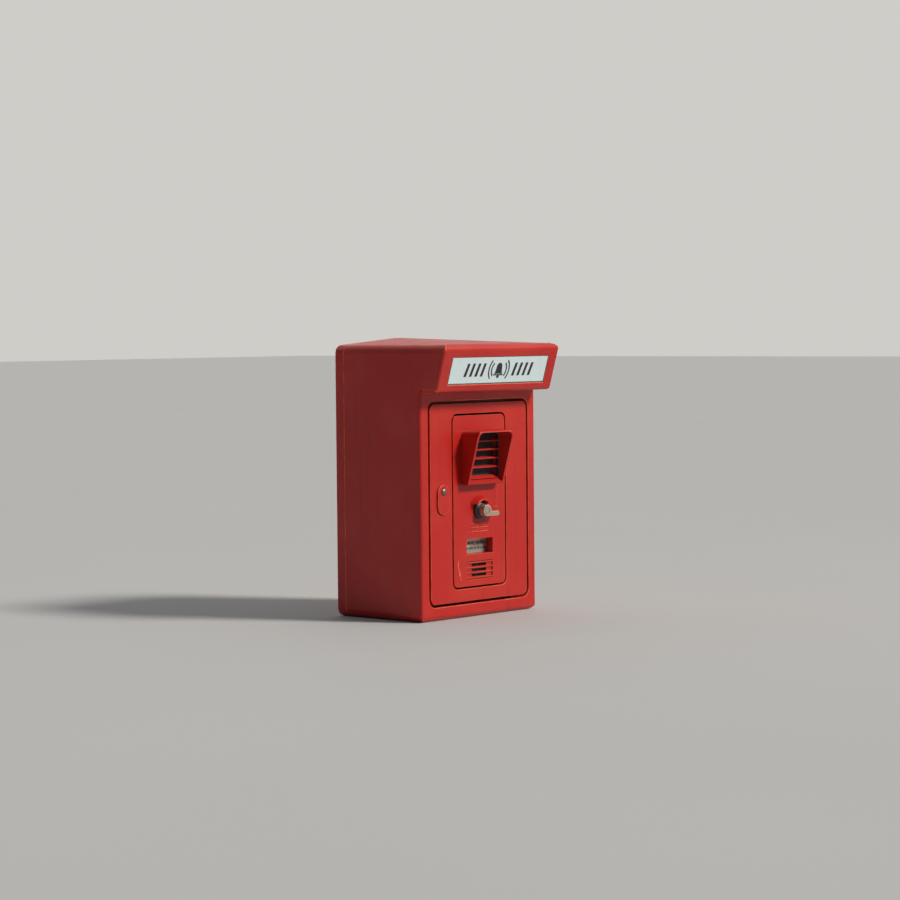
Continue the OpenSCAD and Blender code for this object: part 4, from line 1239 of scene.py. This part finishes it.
@dataclass
class Sign:
    """The lit sign: its opal sheet, and a plain bell with waves and stripes in place of words."""

    ink: float = 0.12 * MM
    height: float = 29 * MM
    stripe: float = 6.4 * MM
    pitch: float = 14 * MM
    lean: float = 5.5 * MM
    stripes: int = 4
    opening: Flat = (252 * MM, 48.5 * MM)
    # width and depth of the black strip of painted shade round the sheet
    shade_bead_w: float = 1.1 * MM
    shade_bead_deep: float = 0.6 * MM
    edge: float = 0.35 * MM
    first_stripe: float = 41 * MM
    waves: Flat = (18.5 * MM, 25.5 * MM)
    wave_w: float = 3 * MM
    wave_out: float = 2 * MM

    def _place(self) -> Matrix:
        """The frame of the sheet's front face.

        Returns:
            X to the right, Z up the slope and Y into the sheet.
        """
        mesh = frame["nodes"]["sign_panel"].data
        best, normal, centre = 0.0, Vector(), Vector()
        for face in mesh.polygons:
            if face.normal.y < -0.8 and face.area > best:
                best, normal, centre = face.area, face.normal.copy(), face.center.copy()
        low, high = box("sign_panel")
        up = Vector((0.0, normal.z, -normal.y)).normalized()
        middle_z = (low.z + high.z) / 2
        centre += up * ((middle_z - centre.z) / up.z)
        centre.x = 0.0
        return Matrix(((1, 0, 0, centre.x), (0, -normal.y, up.y, centre.y), (0, -normal.z, up.z, centre.z),
                       (0, 0, 0, 1)))

    def bead(self) -> bpy.types.Mesh:
        """A thin black strip round the sheet, in the gap that the canopy leaves: painted shade for the dark
        line round the sheet's recess.

        Returns:
            The closed strip.
        """
        half_x, half_z = self.opening[0] / 2 - self.shade_bead_w / 2, self.opening[1] / 2 - self.shade_bead_w / 2
        depth, across = self.shade_bead_deep / 2, self.shade_bead_w / 2
        path = [(x, -depth / 2, z) for x, z in rounded_outline((-half_x, -half_z), (half_x, half_z), (MM, MM))]
        section = [(depth, across), (-depth, across), (-depth, -across), (depth, -across)]
        mesh = swept("bead_tree", path, True, section, SHOP.of(Slot.RUBBER))
        mesh.transform(self._place())
        return mesh

    def _wave(self, x: float, radius: float, width: float, side: int) -> list[Flat]:
        """One wave beside the bell.

        Args:
            x: The middle of its circle.
            radius: Its outer radius.
            width: Its stroke.
            side: 1 for the right and -1 for the left.

        Returns:
            Its outline.
        """
        outer = [(x + side * out, up) for out, up in arc((0.0, 0.0), radius, -42, 84, 14)]
        inner = [(x + side * out, up) for out, up in arc((0.0, 0.0), radius - width, 42, -84, 14)]
        return outer + inner

    def _bell(self, x: float) -> list[list[Flat]]:
        """A plain bell.

        Args:
            x: Its middle.

        Returns:
            The outlines of its body, its lip and its clapper.
        """
        half, top = self.height * 0.36, self.height * 0.5
        foot, waist, neck = -top * 0.52, -top * 0.2, top * 0.28
        body: list[Flat] = [(x - half, foot), (x + half, foot), (x + half * 0.78, waist),
                            (x + half * 0.70, neck)]
        body += [(x + half * 0.70 * across, neck + half * 0.78 * up)
                 for across, up in arc((0.0, 0.0), 1.0, 20, 140, 12)]
        body += [(x - half * 0.70, neck), (x - half * 0.78, waist)]
        brim, under, over = half * 1.22, -top * 0.72, -top * 0.56
        lip = [(x - brim, under), (x + brim, under), (x + brim, over), (x - brim, over)]
        ball = [(x + half * 0.34 * across, -top * 0.86 + half * 0.26 * up)
                for across, up in arc((0.0, 0.0), 1.0, 0, 360, 18)[:-1]]
        return [body, lip, ball]

    def build(self) -> None:
        """Builds the sheet, the black strip of painted shade round it, and the marks."""
        rounded("sign_panel", "sign_sheet", Slot.ACRYLIC, Body.ROOT, self.edge)
        outlines = self._bell(0.0)
        for side in (-1, 1):
            outlines += [self._wave(side * self.wave_out, radius, self.wave_w, side) for radius in self.waves]
        tall, wide, lean = self.height * 0.40, self.stripe / 2, self.lean / 2
        for side in (-1, 1):
            for i in range(self.stripes):
                x = side * (self.first_stripe + i * self.pitch)
                outlines.append([(x - wide - lean, -tall), (x + wide - lean, -tall), (x + wide + lean, tall),
                                 (x - wide + lean, tall)])
        # black strip round the sign: painted shade for the dark line where the sheet sits back under the canopy
        dress(link(self.bead(), "sign_bead"), Slot.RUBBER, Body.ROOT)
        place = self._place() @ Matrix.Translation((0.0, self.ink * 0.4, 0.0))
        marks = link(prism(outlines, self.ink, place), "sign_marks")
        dress(marks, Slot.ACRYLIC, Body.ROOT, material=SHOP.get(SIGN_INK))


@dataclass
class Hood:
    """The loudspeaker's hood and its slats."""

    wall: float = 4 * MM
    sill: float = 9 * MM
    sill_top: float = 15 * MM
    out_low: float = 15 * MM
    out_high: float = 42 * MM
    brow: float = 6 * MM
    chin: float = 3 * MM
    rings: int = 5
    outer: Flat = (4 * MM, 14 * MM)
    inner: Flat = (2 * MM, 10 * MM)
    edge: float = 0.3 * MM
    slat: Flat = (9.6 * MM, 1.6 * MM)
    slat_lip: float = 1.45 * MM
    slat_tilt: float = 12.0
    frame_deep: float = 1.8 * MM

    def build(self) -> None:
        """Builds the hood, the slats, their frame, and the black strip behind them that paints the shade inside
        the hood.
        """
        rounded("speaker_hood", "hood_body", Slot.RED, Body.ROOT, self.edge, self._mouth,
                source=self.shell())
        dress(link(self.slats(), "hood_slats"), Slot.RED, Body.ROOT, "louvre_slats")
        front = box("louvre_slats")[0].y - 0.4 * MM
        back = box("speaker_gauze")[0].y - MM
        # a black gauze strip round the hood's inner walls: painted shade that darkens the inside of the hood
        # where shade falls
        shade_lining = self.ring("lining_tree", 0.35 * MM, front, back, 0.7 * MM, Slot.GAUZE)
        dress(link(shade_lining, "hood_lining"), Slot.GAUZE, Body.ROOT)
        border = self.ring("louvre_frame_tree", 0.9 * MM, front, front + self.frame_deep, 1.8 * MM, Slot.RED)
        dress(link(border, "louvre_frame"), Slot.RED, Body.ROOT)

    def ring(self, name: str, inset: float, front: float, back: float, wide: float,
             slot: Slot) -> bpy.types.Mesh:
        """A strip carried round the inside of the hood.

        Args:
            name: The tree's name.
            inset: How far its middle lies inside the hood's inner faces.
            front: Its front edge's Y.
            back: Its back edge's Y.
            wide: Its size across.
            slot: The slot of its finish.

        Returns:
            The closed strip.
        """
        low, high = box("speaker_hood")
        half = high.x - self.wall - inset
        base, top = low.z + self.sill + inset, high.z - self.wall - inset
        turns = ((1, top, 9 * MM, 0), (-1, top, 9 * MM, 90), (-1, base, 2 * MM, 180), (1, base, 2 * MM, 270))
        path: list[Point] = []
        for side, level, radius, start in turns:
            middle = (side * (half - radius), level + (-radius if level == top else radius))
            path += [(x, (front + back) / 2, z) for x, z in arc(middle, radius, start, 90, 6)]
        across, along = wide / 2, (back - front) / 2
        section = [(along, across), (-along, across), (-along, -across), (along, -across)]
        return swept(name, path, True, section, SHOP.of(slot))

    def _foot(self) -> bpy.types.Mesh:
        """The hood's section where it meets the panel.

        Returns:
            A flat ring of faces.
        """
        low, high = box("speaker_hood")
        loops = []
        for share in (i / self.rings for i in range(self.rings + 1)):
            inset = self.wall * share
            radii = tuple(a + (b - a) * share for a, b in zip(self.outer, self.inner))
            corner = (high.x - inset, high.z - inset)
            loops.append(rounded_outline((low.x + inset, low.z + inset), corner, radii))
        count = len(loops[0])
        verts = [(x, high.y, z) for loop in loops for x, z in loop]
        starts = [(k * count, (k + 1) * count) for k in range(self.rings)]
        faces = [(out + i, out + (i + 1) % count, within + (i + 1) % count, within + i)
                 for out, within in starts for i in range(count)]
        mesh = bpy.data.meshes.new("foot")
        mesh.from_pydata(verts, [], faces)
        return mesh

    def _edge(self, radius: float, top: bool, tall: float) -> tuple[float, float, float]:
        """Where a round edge touches the hood's sloping front.

        Args:
            radius: The edge's radius.
            top: Whether it is the upper edge or the lower.
            tall: The hood's height.

        Returns:
            The height and the depth of its centre, and the height where the slope ends.
        """
        lean = math.atan2(self.out_high - self.out_low, tall)
        up = tall - radius if top else radius
        return up, self.out_low + math.tan(lean) * up - radius / math.cos(lean), up - radius * math.sin(lean)

    def _sill(self) -> bpy.types.Mesh:
        """The wedge along the hood's lower wall that sheds rain.

        Returns:
            The closed wedge.
        """
        low, high = box("speaker_hood")
        lap, flat = 0.5 * MM, 2 * MM
        half, floor, back = high.x - self.wall + lap, low.z + self.wall - lap, high.y - 0.1 * MM
        crest, tip = low.z + self.sill_top, back - self.out_low + flat
        side = [(back, floor), (back, crest), (back - flat, crest), (tip, low.z + self.wall + MM), (tip, floor)]
        turned = Matrix(((0, 1, 0, half), (1, 0, 0, 0), (0, 0, 1, 0), (0, 0, 0, 1)))
        return prism([side], 2 * half, turned)

    def shell(self) -> bpy.types.Mesh:
        """The hood, its foot drawn out by low + slope x height and joined to its sill.

        Returns:
            The closed mesh.
        """
        low, high = box("speaker_hood")
        sill = link(self._sill(), "sill")
        tree = Tree("hood_tree")
        near, far = tree.size("Out at foot", self.out_low), tree.size("Out at top", self.out_high)
        base, tall = tree.size("Base height", low.z), tree.size("Tall", high.z - low.z)
        foot = tree.inputs.outputs[0]
        drawn = tree.add("ExtrudeMesh", {"Mesh": foot, "Offset": (0.0, -1.0, 0.0), "Offset Scale": MM,
                                         "Individual": False})
        place = tree.add("ShaderNodeSeparateXYZ", {0: tree.add("InputPosition").outputs[0]}).outputs["Z"]
        up = tree.maths("SUBTRACT", place, base)
        slope = tree.maths("DIVIDE", tree.maths("SUBTRACT", far, near), tall)
        out = tree.maths("ADD", near, tree.maths("MULTIPLY", slope, up))
        for label, radius, side in (("Brow", self.brow, "GREATER_THAN"), ("Chin", self.chin, "LESS_THAN")):
            centre_up, centre_out, start = self._edge(radius, side == "GREATER_THAN", high.z - low.z)
            centre = tree.size(f"{label} centre", centre_up)
            across = tree.maths("SUBTRACT", up, centre)
            rise = tree.maths("SUBTRACT", radius * radius, tree.maths("MULTIPLY", across, across))
            arc = tree.maths("ADD", tree.size(f"{label} out", centre_out),
                             tree.maths("SQRT", tree.maths("MAXIMUM", rise, 0.0)))
            past = tree.maths(side, up, tree.size(f"{label} start", start))
            out = tree.maths("ADD", out, tree.maths("MULTIPLY", past, tree.maths("SUBTRACT", arc, out)))
        shift = tree.vector(0.0, tree.maths("MULTIPLY", tree.maths("SUBTRACT", out, MM), -1.0), 0.0)
        drawn_out = tree.add("SetPosition", {"Geometry": drawn.outputs["Mesh"], "Offset": shift,
                                             "Selection": drawn.outputs["Top"]}).outputs[0]
        closed = tree.add("JoinGeometry")
        for part in (tree.add("FlipFaces", {0: foot}).outputs[0], drawn_out):
            tree.group.links.new(part, closed.inputs[0])
        whole = tree.add("MergeByDistance", {"Geometry": closed.outputs[0], "Distance": SAME_POINT}).outputs[0]
        wedge = tree.add("ObjectInfo", {"Object": tree.size("Sill", sill, "Object")}).outputs["Geometry"]
        union = tree.add("MeshBoolean", operation="UNION")
        for part in (whole, wedge):
            tree.group.links.new(part, union.inputs[1])
        tree.close(union.outputs[0], SHOP.of(Slot.RED))
        mesh = tree.run(self._foot())
        bpy.data.objects.remove(sill)
        return mesh

    def _mouth(self, mid: Vector) -> bool:
        """Whether an edge is on the hood's open end.

        Args:
            mid: The edge's middle.

        Returns:
            True where it is also clear of the sill.
        """
        low, high = box("speaker_hood")
        clear = 2 * MM
        return mid.y < high.y - 0.5 * MM and mid.z > low.z + self.sill_top + clear

    def slats(self) -> bpy.types.Mesh:
        """The slats, one round-nosed strip put at each CAD slat's place.

        Returns:
            One mesh of them all.
        """
        boxes = islands("louvre_slats")
        low, high = boxes[0]
        tree = Tree("slat_tree")
        span, depth = tree.size("Width", high.x - low.x), tree.size("Depth", self.slat[0])
        height, lip = tree.size("Thickness", self.slat[1]), tree.size("Lip", self.slat_lip)
        lean = tree.size("Tilt", math.radians(self.slat_tilt))
        plate = tree.add("MeshCube", {"Size": tree.vector(span, depth, height), "Vertices X": 2,
                                      "Vertices Y": 4, "Vertices Z": 2}).outputs[0]
        length = tree.maths("MULTIPLY", span, 0.997)
        roll = tree.add("MeshCylinder", {"Vertices": 16, "Radius": lip, "Depth": length}).outputs["Mesh"]
        front = tree.maths("ADD", tree.maths("MULTIPLY", depth, -0.5), lip)
        laid = tree.add("Transform", {"Geometry": roll, "Translation": tree.vector(0.0, front, 0.0),
                                      "Rotation": (0.0, math.pi / 2, 0.0)}).outputs[0]
        slat = tree.add("MeshBoolean", operation="UNION")
        for part in (plate, laid):
            tree.group.links.new(part, slat.inputs[1])
        merged = tree.add("MergeByDistance", {"Geometry": slat.outputs[0], "Distance": SAME_POINT}).outputs[0]
        points = tree.add("MeshToPoints", {0: tree.inputs.outputs[0]}).outputs[0]
        placed = tree.add("InstanceOnPoints", {"Points": points, "Instance": merged,
                                               "Rotation": tree.vector(lean, 0.0, 0.0)}).outputs[0]
        tree.close(placed, SHOP.of(Slot.RED), smooth=False)
        return tree.run(dots([(a + b) / 2 for a, b in boxes]))


@dataclass
class Panel:
    """The fixed operating panel and its window's pane."""

    edge: float = 0.35 * MM
    pane_edge: float = 0.3 * MM

    def _front(self, mid: Vector) -> bool:
        """Whether an edge lies on the panel's front, which is flush with the door's."""
        return mid.y < box("door")[0].y + 0.15 * MM

    def build(self) -> None:
        """Builds the panel and the pane of its window."""
        rounded("control_panel", "operating_panel", Slot.RED, Body.ROOT, self.edge, self._front,
                material=SHOP.get(PANEL_ENAMEL))
        rounded("window_pane", "window_sheet", Slot.WINDOW, Body.ROOT, self.pane_edge)


@dataclass
class Lever:
    """The call lever with its shroud, its bush, its screw and its return spring."""

    coils: int = 5
    wire: float = 0.8 * MM
    shroud_edge: float = 0.3 * MM
    bush_edge: float = 0.8 * MM
    handle_edge: float = 0.35 * MM
    screw_edge: float = 0.2 * MM
    bore_clear: float = 8.5 * MM

    def build(self) -> None:
        """Builds the shroud, the bush, the handle, its screw and the spring."""
        rounded("lever_shroud", "rain_shroud", Slot.RED, Body.ROOT, self.shroud_edge, segments=3)
        rounded("lever_bush", "bush_collar", Slot.BLACK, Body.ROOT, self.bush_edge, segments=3)
        rounded("lever_handle", "lever_casting", Slot.LEVER, Body.LEVER, self.handle_edge, self._outside, 3)
        rounded("hub_screw", "hub_screw_head", Slot.ZINC, Body.LEVER, self.screw_edge)
        dress(link(self.spring(), "return_coil"), Slot.ZINC, Body.ROOT, "return_spring")

    def _outside(self, mid: Vector) -> bool:
        """Whether an edge is on the handle's outside and not in its bore."""
        axis = frame_joint("lever_turn")
        return math.hypot(mid.x, mid.z - axis.z) > self.bore_clear

    def spring(self) -> bpy.types.Mesh:
        """The return spring, a wire carried round a helix.

        Returns:
            The closed wire.
        """
        low, high = box("return_spring")
        middle = (low + high) / 2
        radius = (high.x - low.x) / 2 - self.wire
        start, end = low.y + self.wire, high.y - self.wire
        steps = self.coils * 36
        turns = arc((middle.x, middle.z), radius, 0, 360 * self.coils, steps)
        path = [(x, start + (end - start) * i / steps, z) for i, (x, z) in enumerate(turns)]
        ring = arc((0.0, 0.0), self.wire, 0, 360, 10)[:-1]
        return swept("spring_tree", path, False, ring, SHOP.of(Slot.ZINC))


@dataclass
class Fasteners:
    """The screws that show when the door is open, each set copied from one modelled screw.

    A set's sizes are its head's radius and height, its shank's radius, and 1 where its head is at the back.
    """

    sets: dict[str, tuple[float, float, float, int]] = field(default_factory=lambda: {
        "housing_screws": (4.5 * MM, 3.5 * MM, 2.0 * MM, 0),
        "speaker_screws": (3.0 * MM, 2.0 * MM, 1.5 * MM, 1),
        "card_screws": (2.8 * MM, 2.0 * MM, 1.5 * MM, 1)})

    def screw(self, head_r: float, head_h: float, shank_r: float, length: float) -> bpy.types.Mesh:
        """One pan-head screw, standing along Z with its head upwards.

        Args:
            head_r: The head's radius.
            head_h: The head's height.
            shank_r: The shank's radius.
            length: The whole length.

        Returns:
            The screw's mesh.
        """
        shank = length - head_h
        profile: list[Flat] = [(0.0, -shank), (shank_r * 0.7, -shank), (shank_r, -shank + shank_r * 0.3),
                               (shank_r, 0.0), (head_r * 0.97, 0.0), (head_r, head_h * 0.12),
                               (head_r, head_h * 0.45)]
        profile += [(head_r * across, head_h * (0.45 + 0.55 * up))
                    for across, up in arc((0.0, 0.0), 1.0, 0, 90, 5)[1:4]]
        socket_r = head_r * 0.36
        profile += [(socket_r, head_h * 0.98), (socket_r * 0.9, head_h * 0.45), (0.0, head_h * 0.35)]
        return flattened(meshed(lathe(profile, 24), "screw"))

    def build(self) -> None:
        """Builds each set in place of its CAD node."""
        for node, (head_r, head_h, shank_r, behind) in self.sets.items():
            boxes = islands(node)
            low, high = boxes[0]
            seat = [(a + b) / 2 for a, b in boxes]
            for point in seat:
                point.y = (high.y - head_h) if behind else (low.y + head_h)
            item = self.screw(head_r, head_h, shank_r, high.y - low.y)
            turn = (-math.pi / 2 if behind else math.pi / 2, 0.0, 0.0)
            mesh = copies(node + "_tree", item, seat, turn, SHOP.of(Slot.ZINC))
            dress(link(mesh, node + "_set"), Slot.ZINC, Body.ROOT, node)


@dataclass
class Gasket:
    """The rubber seal that the door shuts on, a soft section carried round three sides."""

    thick: float = 4 * MM
    radius: float = 8.5 * MM

    def build(self) -> None:
        """Builds the seal in place of its CAD node."""
        low, high = box("door_gasket")
        inset, radius = self.thick / 2, self.radius
        mid_y = (low.y + high.y) / 2
        x0, z0, z1 = low.x + inset, low.z + inset, high.z - inset
        path: list[Point] = [(high.x, mid_y, z1)]
        for level, start in ((z1 - radius, 90), (z0 + radius, 180)):
            path += [(x, mid_y, z) for x, z in arc((x0 + radius, level), radius, start, 90, 10)]
        path.append((high.x, mid_y, z0))
        section = self._section((high.y - low.y) * 0.99, self.thick * 0.96)
        mesh = swept("gasket_tree", path, False, section, SHOP.of(Slot.RUBBER))
        dress(link(mesh, "door_seal"), Slot.RUBBER, Body.ROOT, "door_gasket")

    def _section(self, width: float, depth: float) -> list[Flat]:
        """A round-cornered section.

        Args:
            width: Its size along Y.
            depth: Its size across the path, in the door's plane.

        Returns:
            Its outline.
        """
        corner = min(width, depth) * 0.3
        outline: list[Flat] = []
        for sx, sy, start in ((1, 1, 0), (-1, 1, 90), (-1, -1, 180), (1, -1, 270)):
            outline += arc((sx * (width / 2 - corner), sy * (depth / 2 - corner)), corner, start, 90, 4)
        return outline


def frame_joint(name: str) -> Vector:
    """The place of a joint's axis.

    Args:
        name: The joint.

    Returns:
        A point on the axis.
    """
    for joint in frame["joints"]:
        if joint["name"] == name:
            return Vector(joint["pos_m"])
    raise KeyError(name)


@dataclass
class Works:
    """Every CAD node that stays as it is and takes a finish by its slot."""

    def build(self) -> None:
        """Dresses the nodes that still show."""
        slots = {s.value: s for s in Slot}
        own = {"microphone": SHOP.get(MICROPHONE_MESH)}
        for name, obj in sorted(frame["nodes"].items()):
            if obj.hide_render:
                continue
            for holder in obj.material_slots:
                known = slots.get((holder.material.name if holder.material else "").split(".")[0])
                if known is not None:
                    holder.material = own.get(name) or SHOP.of(known)
            LOG.info("%s: kept with %s", name, [h.material.name for h in obj.material_slots])


@dataclass
class Studio:
    """The floor, the sky and the lights, and the camera."""

    eye: Point = (-3.394, -3.142, 0.265)
    look: Point = (0.748, 0.664, -0.0472)
    roll: float = -0.5
    lens: float = 104.5
    floor_size: float = 60.0
    sky_bright_side: Point = (0.72, 0.62, 0.30)
    sky_ramp: tuple[tuple[float, Colour], ...] = ((0.42, (0.085, 0.095, 0.12)), (0.88, (0.62, 0.61, 0.58)))
    key_place: Point = (1.5, -3.2, 2.6)
    key_power: float = 3.4
    key_spread: float = 12.0
    soft_place: Point = (1.1, -1.5, 1.5)
    soft_power: float = 2.5
    soft_size: float = 1.2

    def build(self) -> None:
        """Builds the whole studio."""
        self.floor()
        self.sky()
        self.lights()
        self.camera()
        bpy.context.scene.view_settings.view_transform = "Standard"

    def floor(self) -> None:
        """A plain pale floor just under the object."""
        half = self.floor_size / 2
        level = CAD_BOX[0].z - 0.2 * MM
        mesh = bpy.data.meshes.new("floor")
        corners = [(x * half, y * half, level) for x, y in ((-1, -1), (1, -1), (1, 1), (-1, 1))]
        mesh.from_pydata(corners, [], [(0, 1, 2, 3)])
        obj = link(mesh, "floor")
        g = Graph("pale_floor")
        tone = g.mix(g.span(g.noise(1.5, 3), 0.3, 0.7, 0.0, 0.15), (0.47, 0.48, 0.49), (0.43, 0.44, 0.45))
        mesh.materials.append(g.finish(base_color=tone, roughness=0.8, specular_ior_level=0.1))

    def sky(self) -> None:
        """Soft pale surroundings, brighter behind the object than beside its shaded flank."""
        world = bpy.data.worlds.new("studio")
        world.use_nodes = True
        bpy.context.scene.world = world
        nodes, links = world.node_tree.nodes, world.node_tree.links
        place = nodes.new("ShaderNodeTexCoord").outputs["Generated"]
        turn = nodes.new("ShaderNodeVectorMath")
        turn.operation = "DOT_PRODUCT"
        turn.inputs[1].default_value = self.sky_bright_side
        links.new(place, turn.inputs[0])
        ramp = nodes.new("ShaderNodeValToRGB")
        for element, (position, colour) in zip(ramp.color_ramp.elements, self.sky_ramp):
            element.position, element.color = position, (*colour, 1.0)
        ease = nodes.new("ShaderNodeMapRange")
        ease.inputs["From Min"].default_value = -1.0
        links.new(turn.outputs["Value"], ease.inputs["Value"])
        links.new(ease.outputs["Result"], ramp.inputs[0])
        links.new(ramp.outputs[0], nodes["Background"].inputs["Color"])

    def lights(self) -> None:
        """A soft warm key from the front right and a broad softbox over it."""
        key = bpy.data.lights.new("key", "SUN")
        key.energy, key.angle, key.color = self.key_power, math.radians(self.key_spread), (1.0, 0.93, 0.84)
        self._aim(key, self.key_place)
        soft = bpy.data.lights.new("softbox", "AREA")
        soft.energy, soft.size, soft.color = self.soft_power, self.soft_size, (1.0, 0.95, 0.9)
        self._aim(soft, self.soft_place)

    def _aim(self, light: bpy.types.Light, place: Point) -> None:
        """Puts a light at a place, turned to the object's middle.

        Args:
            light: The light.
            place: Its place.
        """
        obj = bpy.data.objects.new(light.name, light)
        bpy.context.scene.collection.objects.link(obj)
        obj.location = place
        middle = (CAD_BOX[0] + CAD_BOX[1]) / 2
        obj.rotation_euler = (middle - Vector(place)).to_track_quat("-Z", "Y").to_euler()

    def camera(self) -> None:
        """The camera, a long lens from the front left at the sign's height."""
        data = bpy.data.cameras.new("camera")
        data.lens, data.sensor_width = self.lens, 36.0
        data.clip_end = 200.0
        obj = bpy.data.objects.new("camera", data)
        bpy.context.scene.collection.objects.link(obj)
        turn = Vector(self.look).to_track_quat("-Z", "Y").to_matrix().to_4x4()
        roll = Matrix.Rotation(math.radians(self.roll), 4, "Z")
        obj.matrix_world = Matrix.Translation(self.eye) @ turn @ roll
        bpy.context.scene.camera = obj


def main() -> None:
    """Builds every sub-assembly, dresses the rest and sets up the studio."""
    logging.basicConfig(level=logging.INFO, format="%(name)s %(message)s")
    Studio().build()
    for part in (Shell(), Door(), Sign(), Hood(), Panel(), Lever(), Fasteners(), Gasket(), Works()):
        LOG.info("building %s", type(part).__name__)
        part.build()


if __name__ == "__main__":
    main()
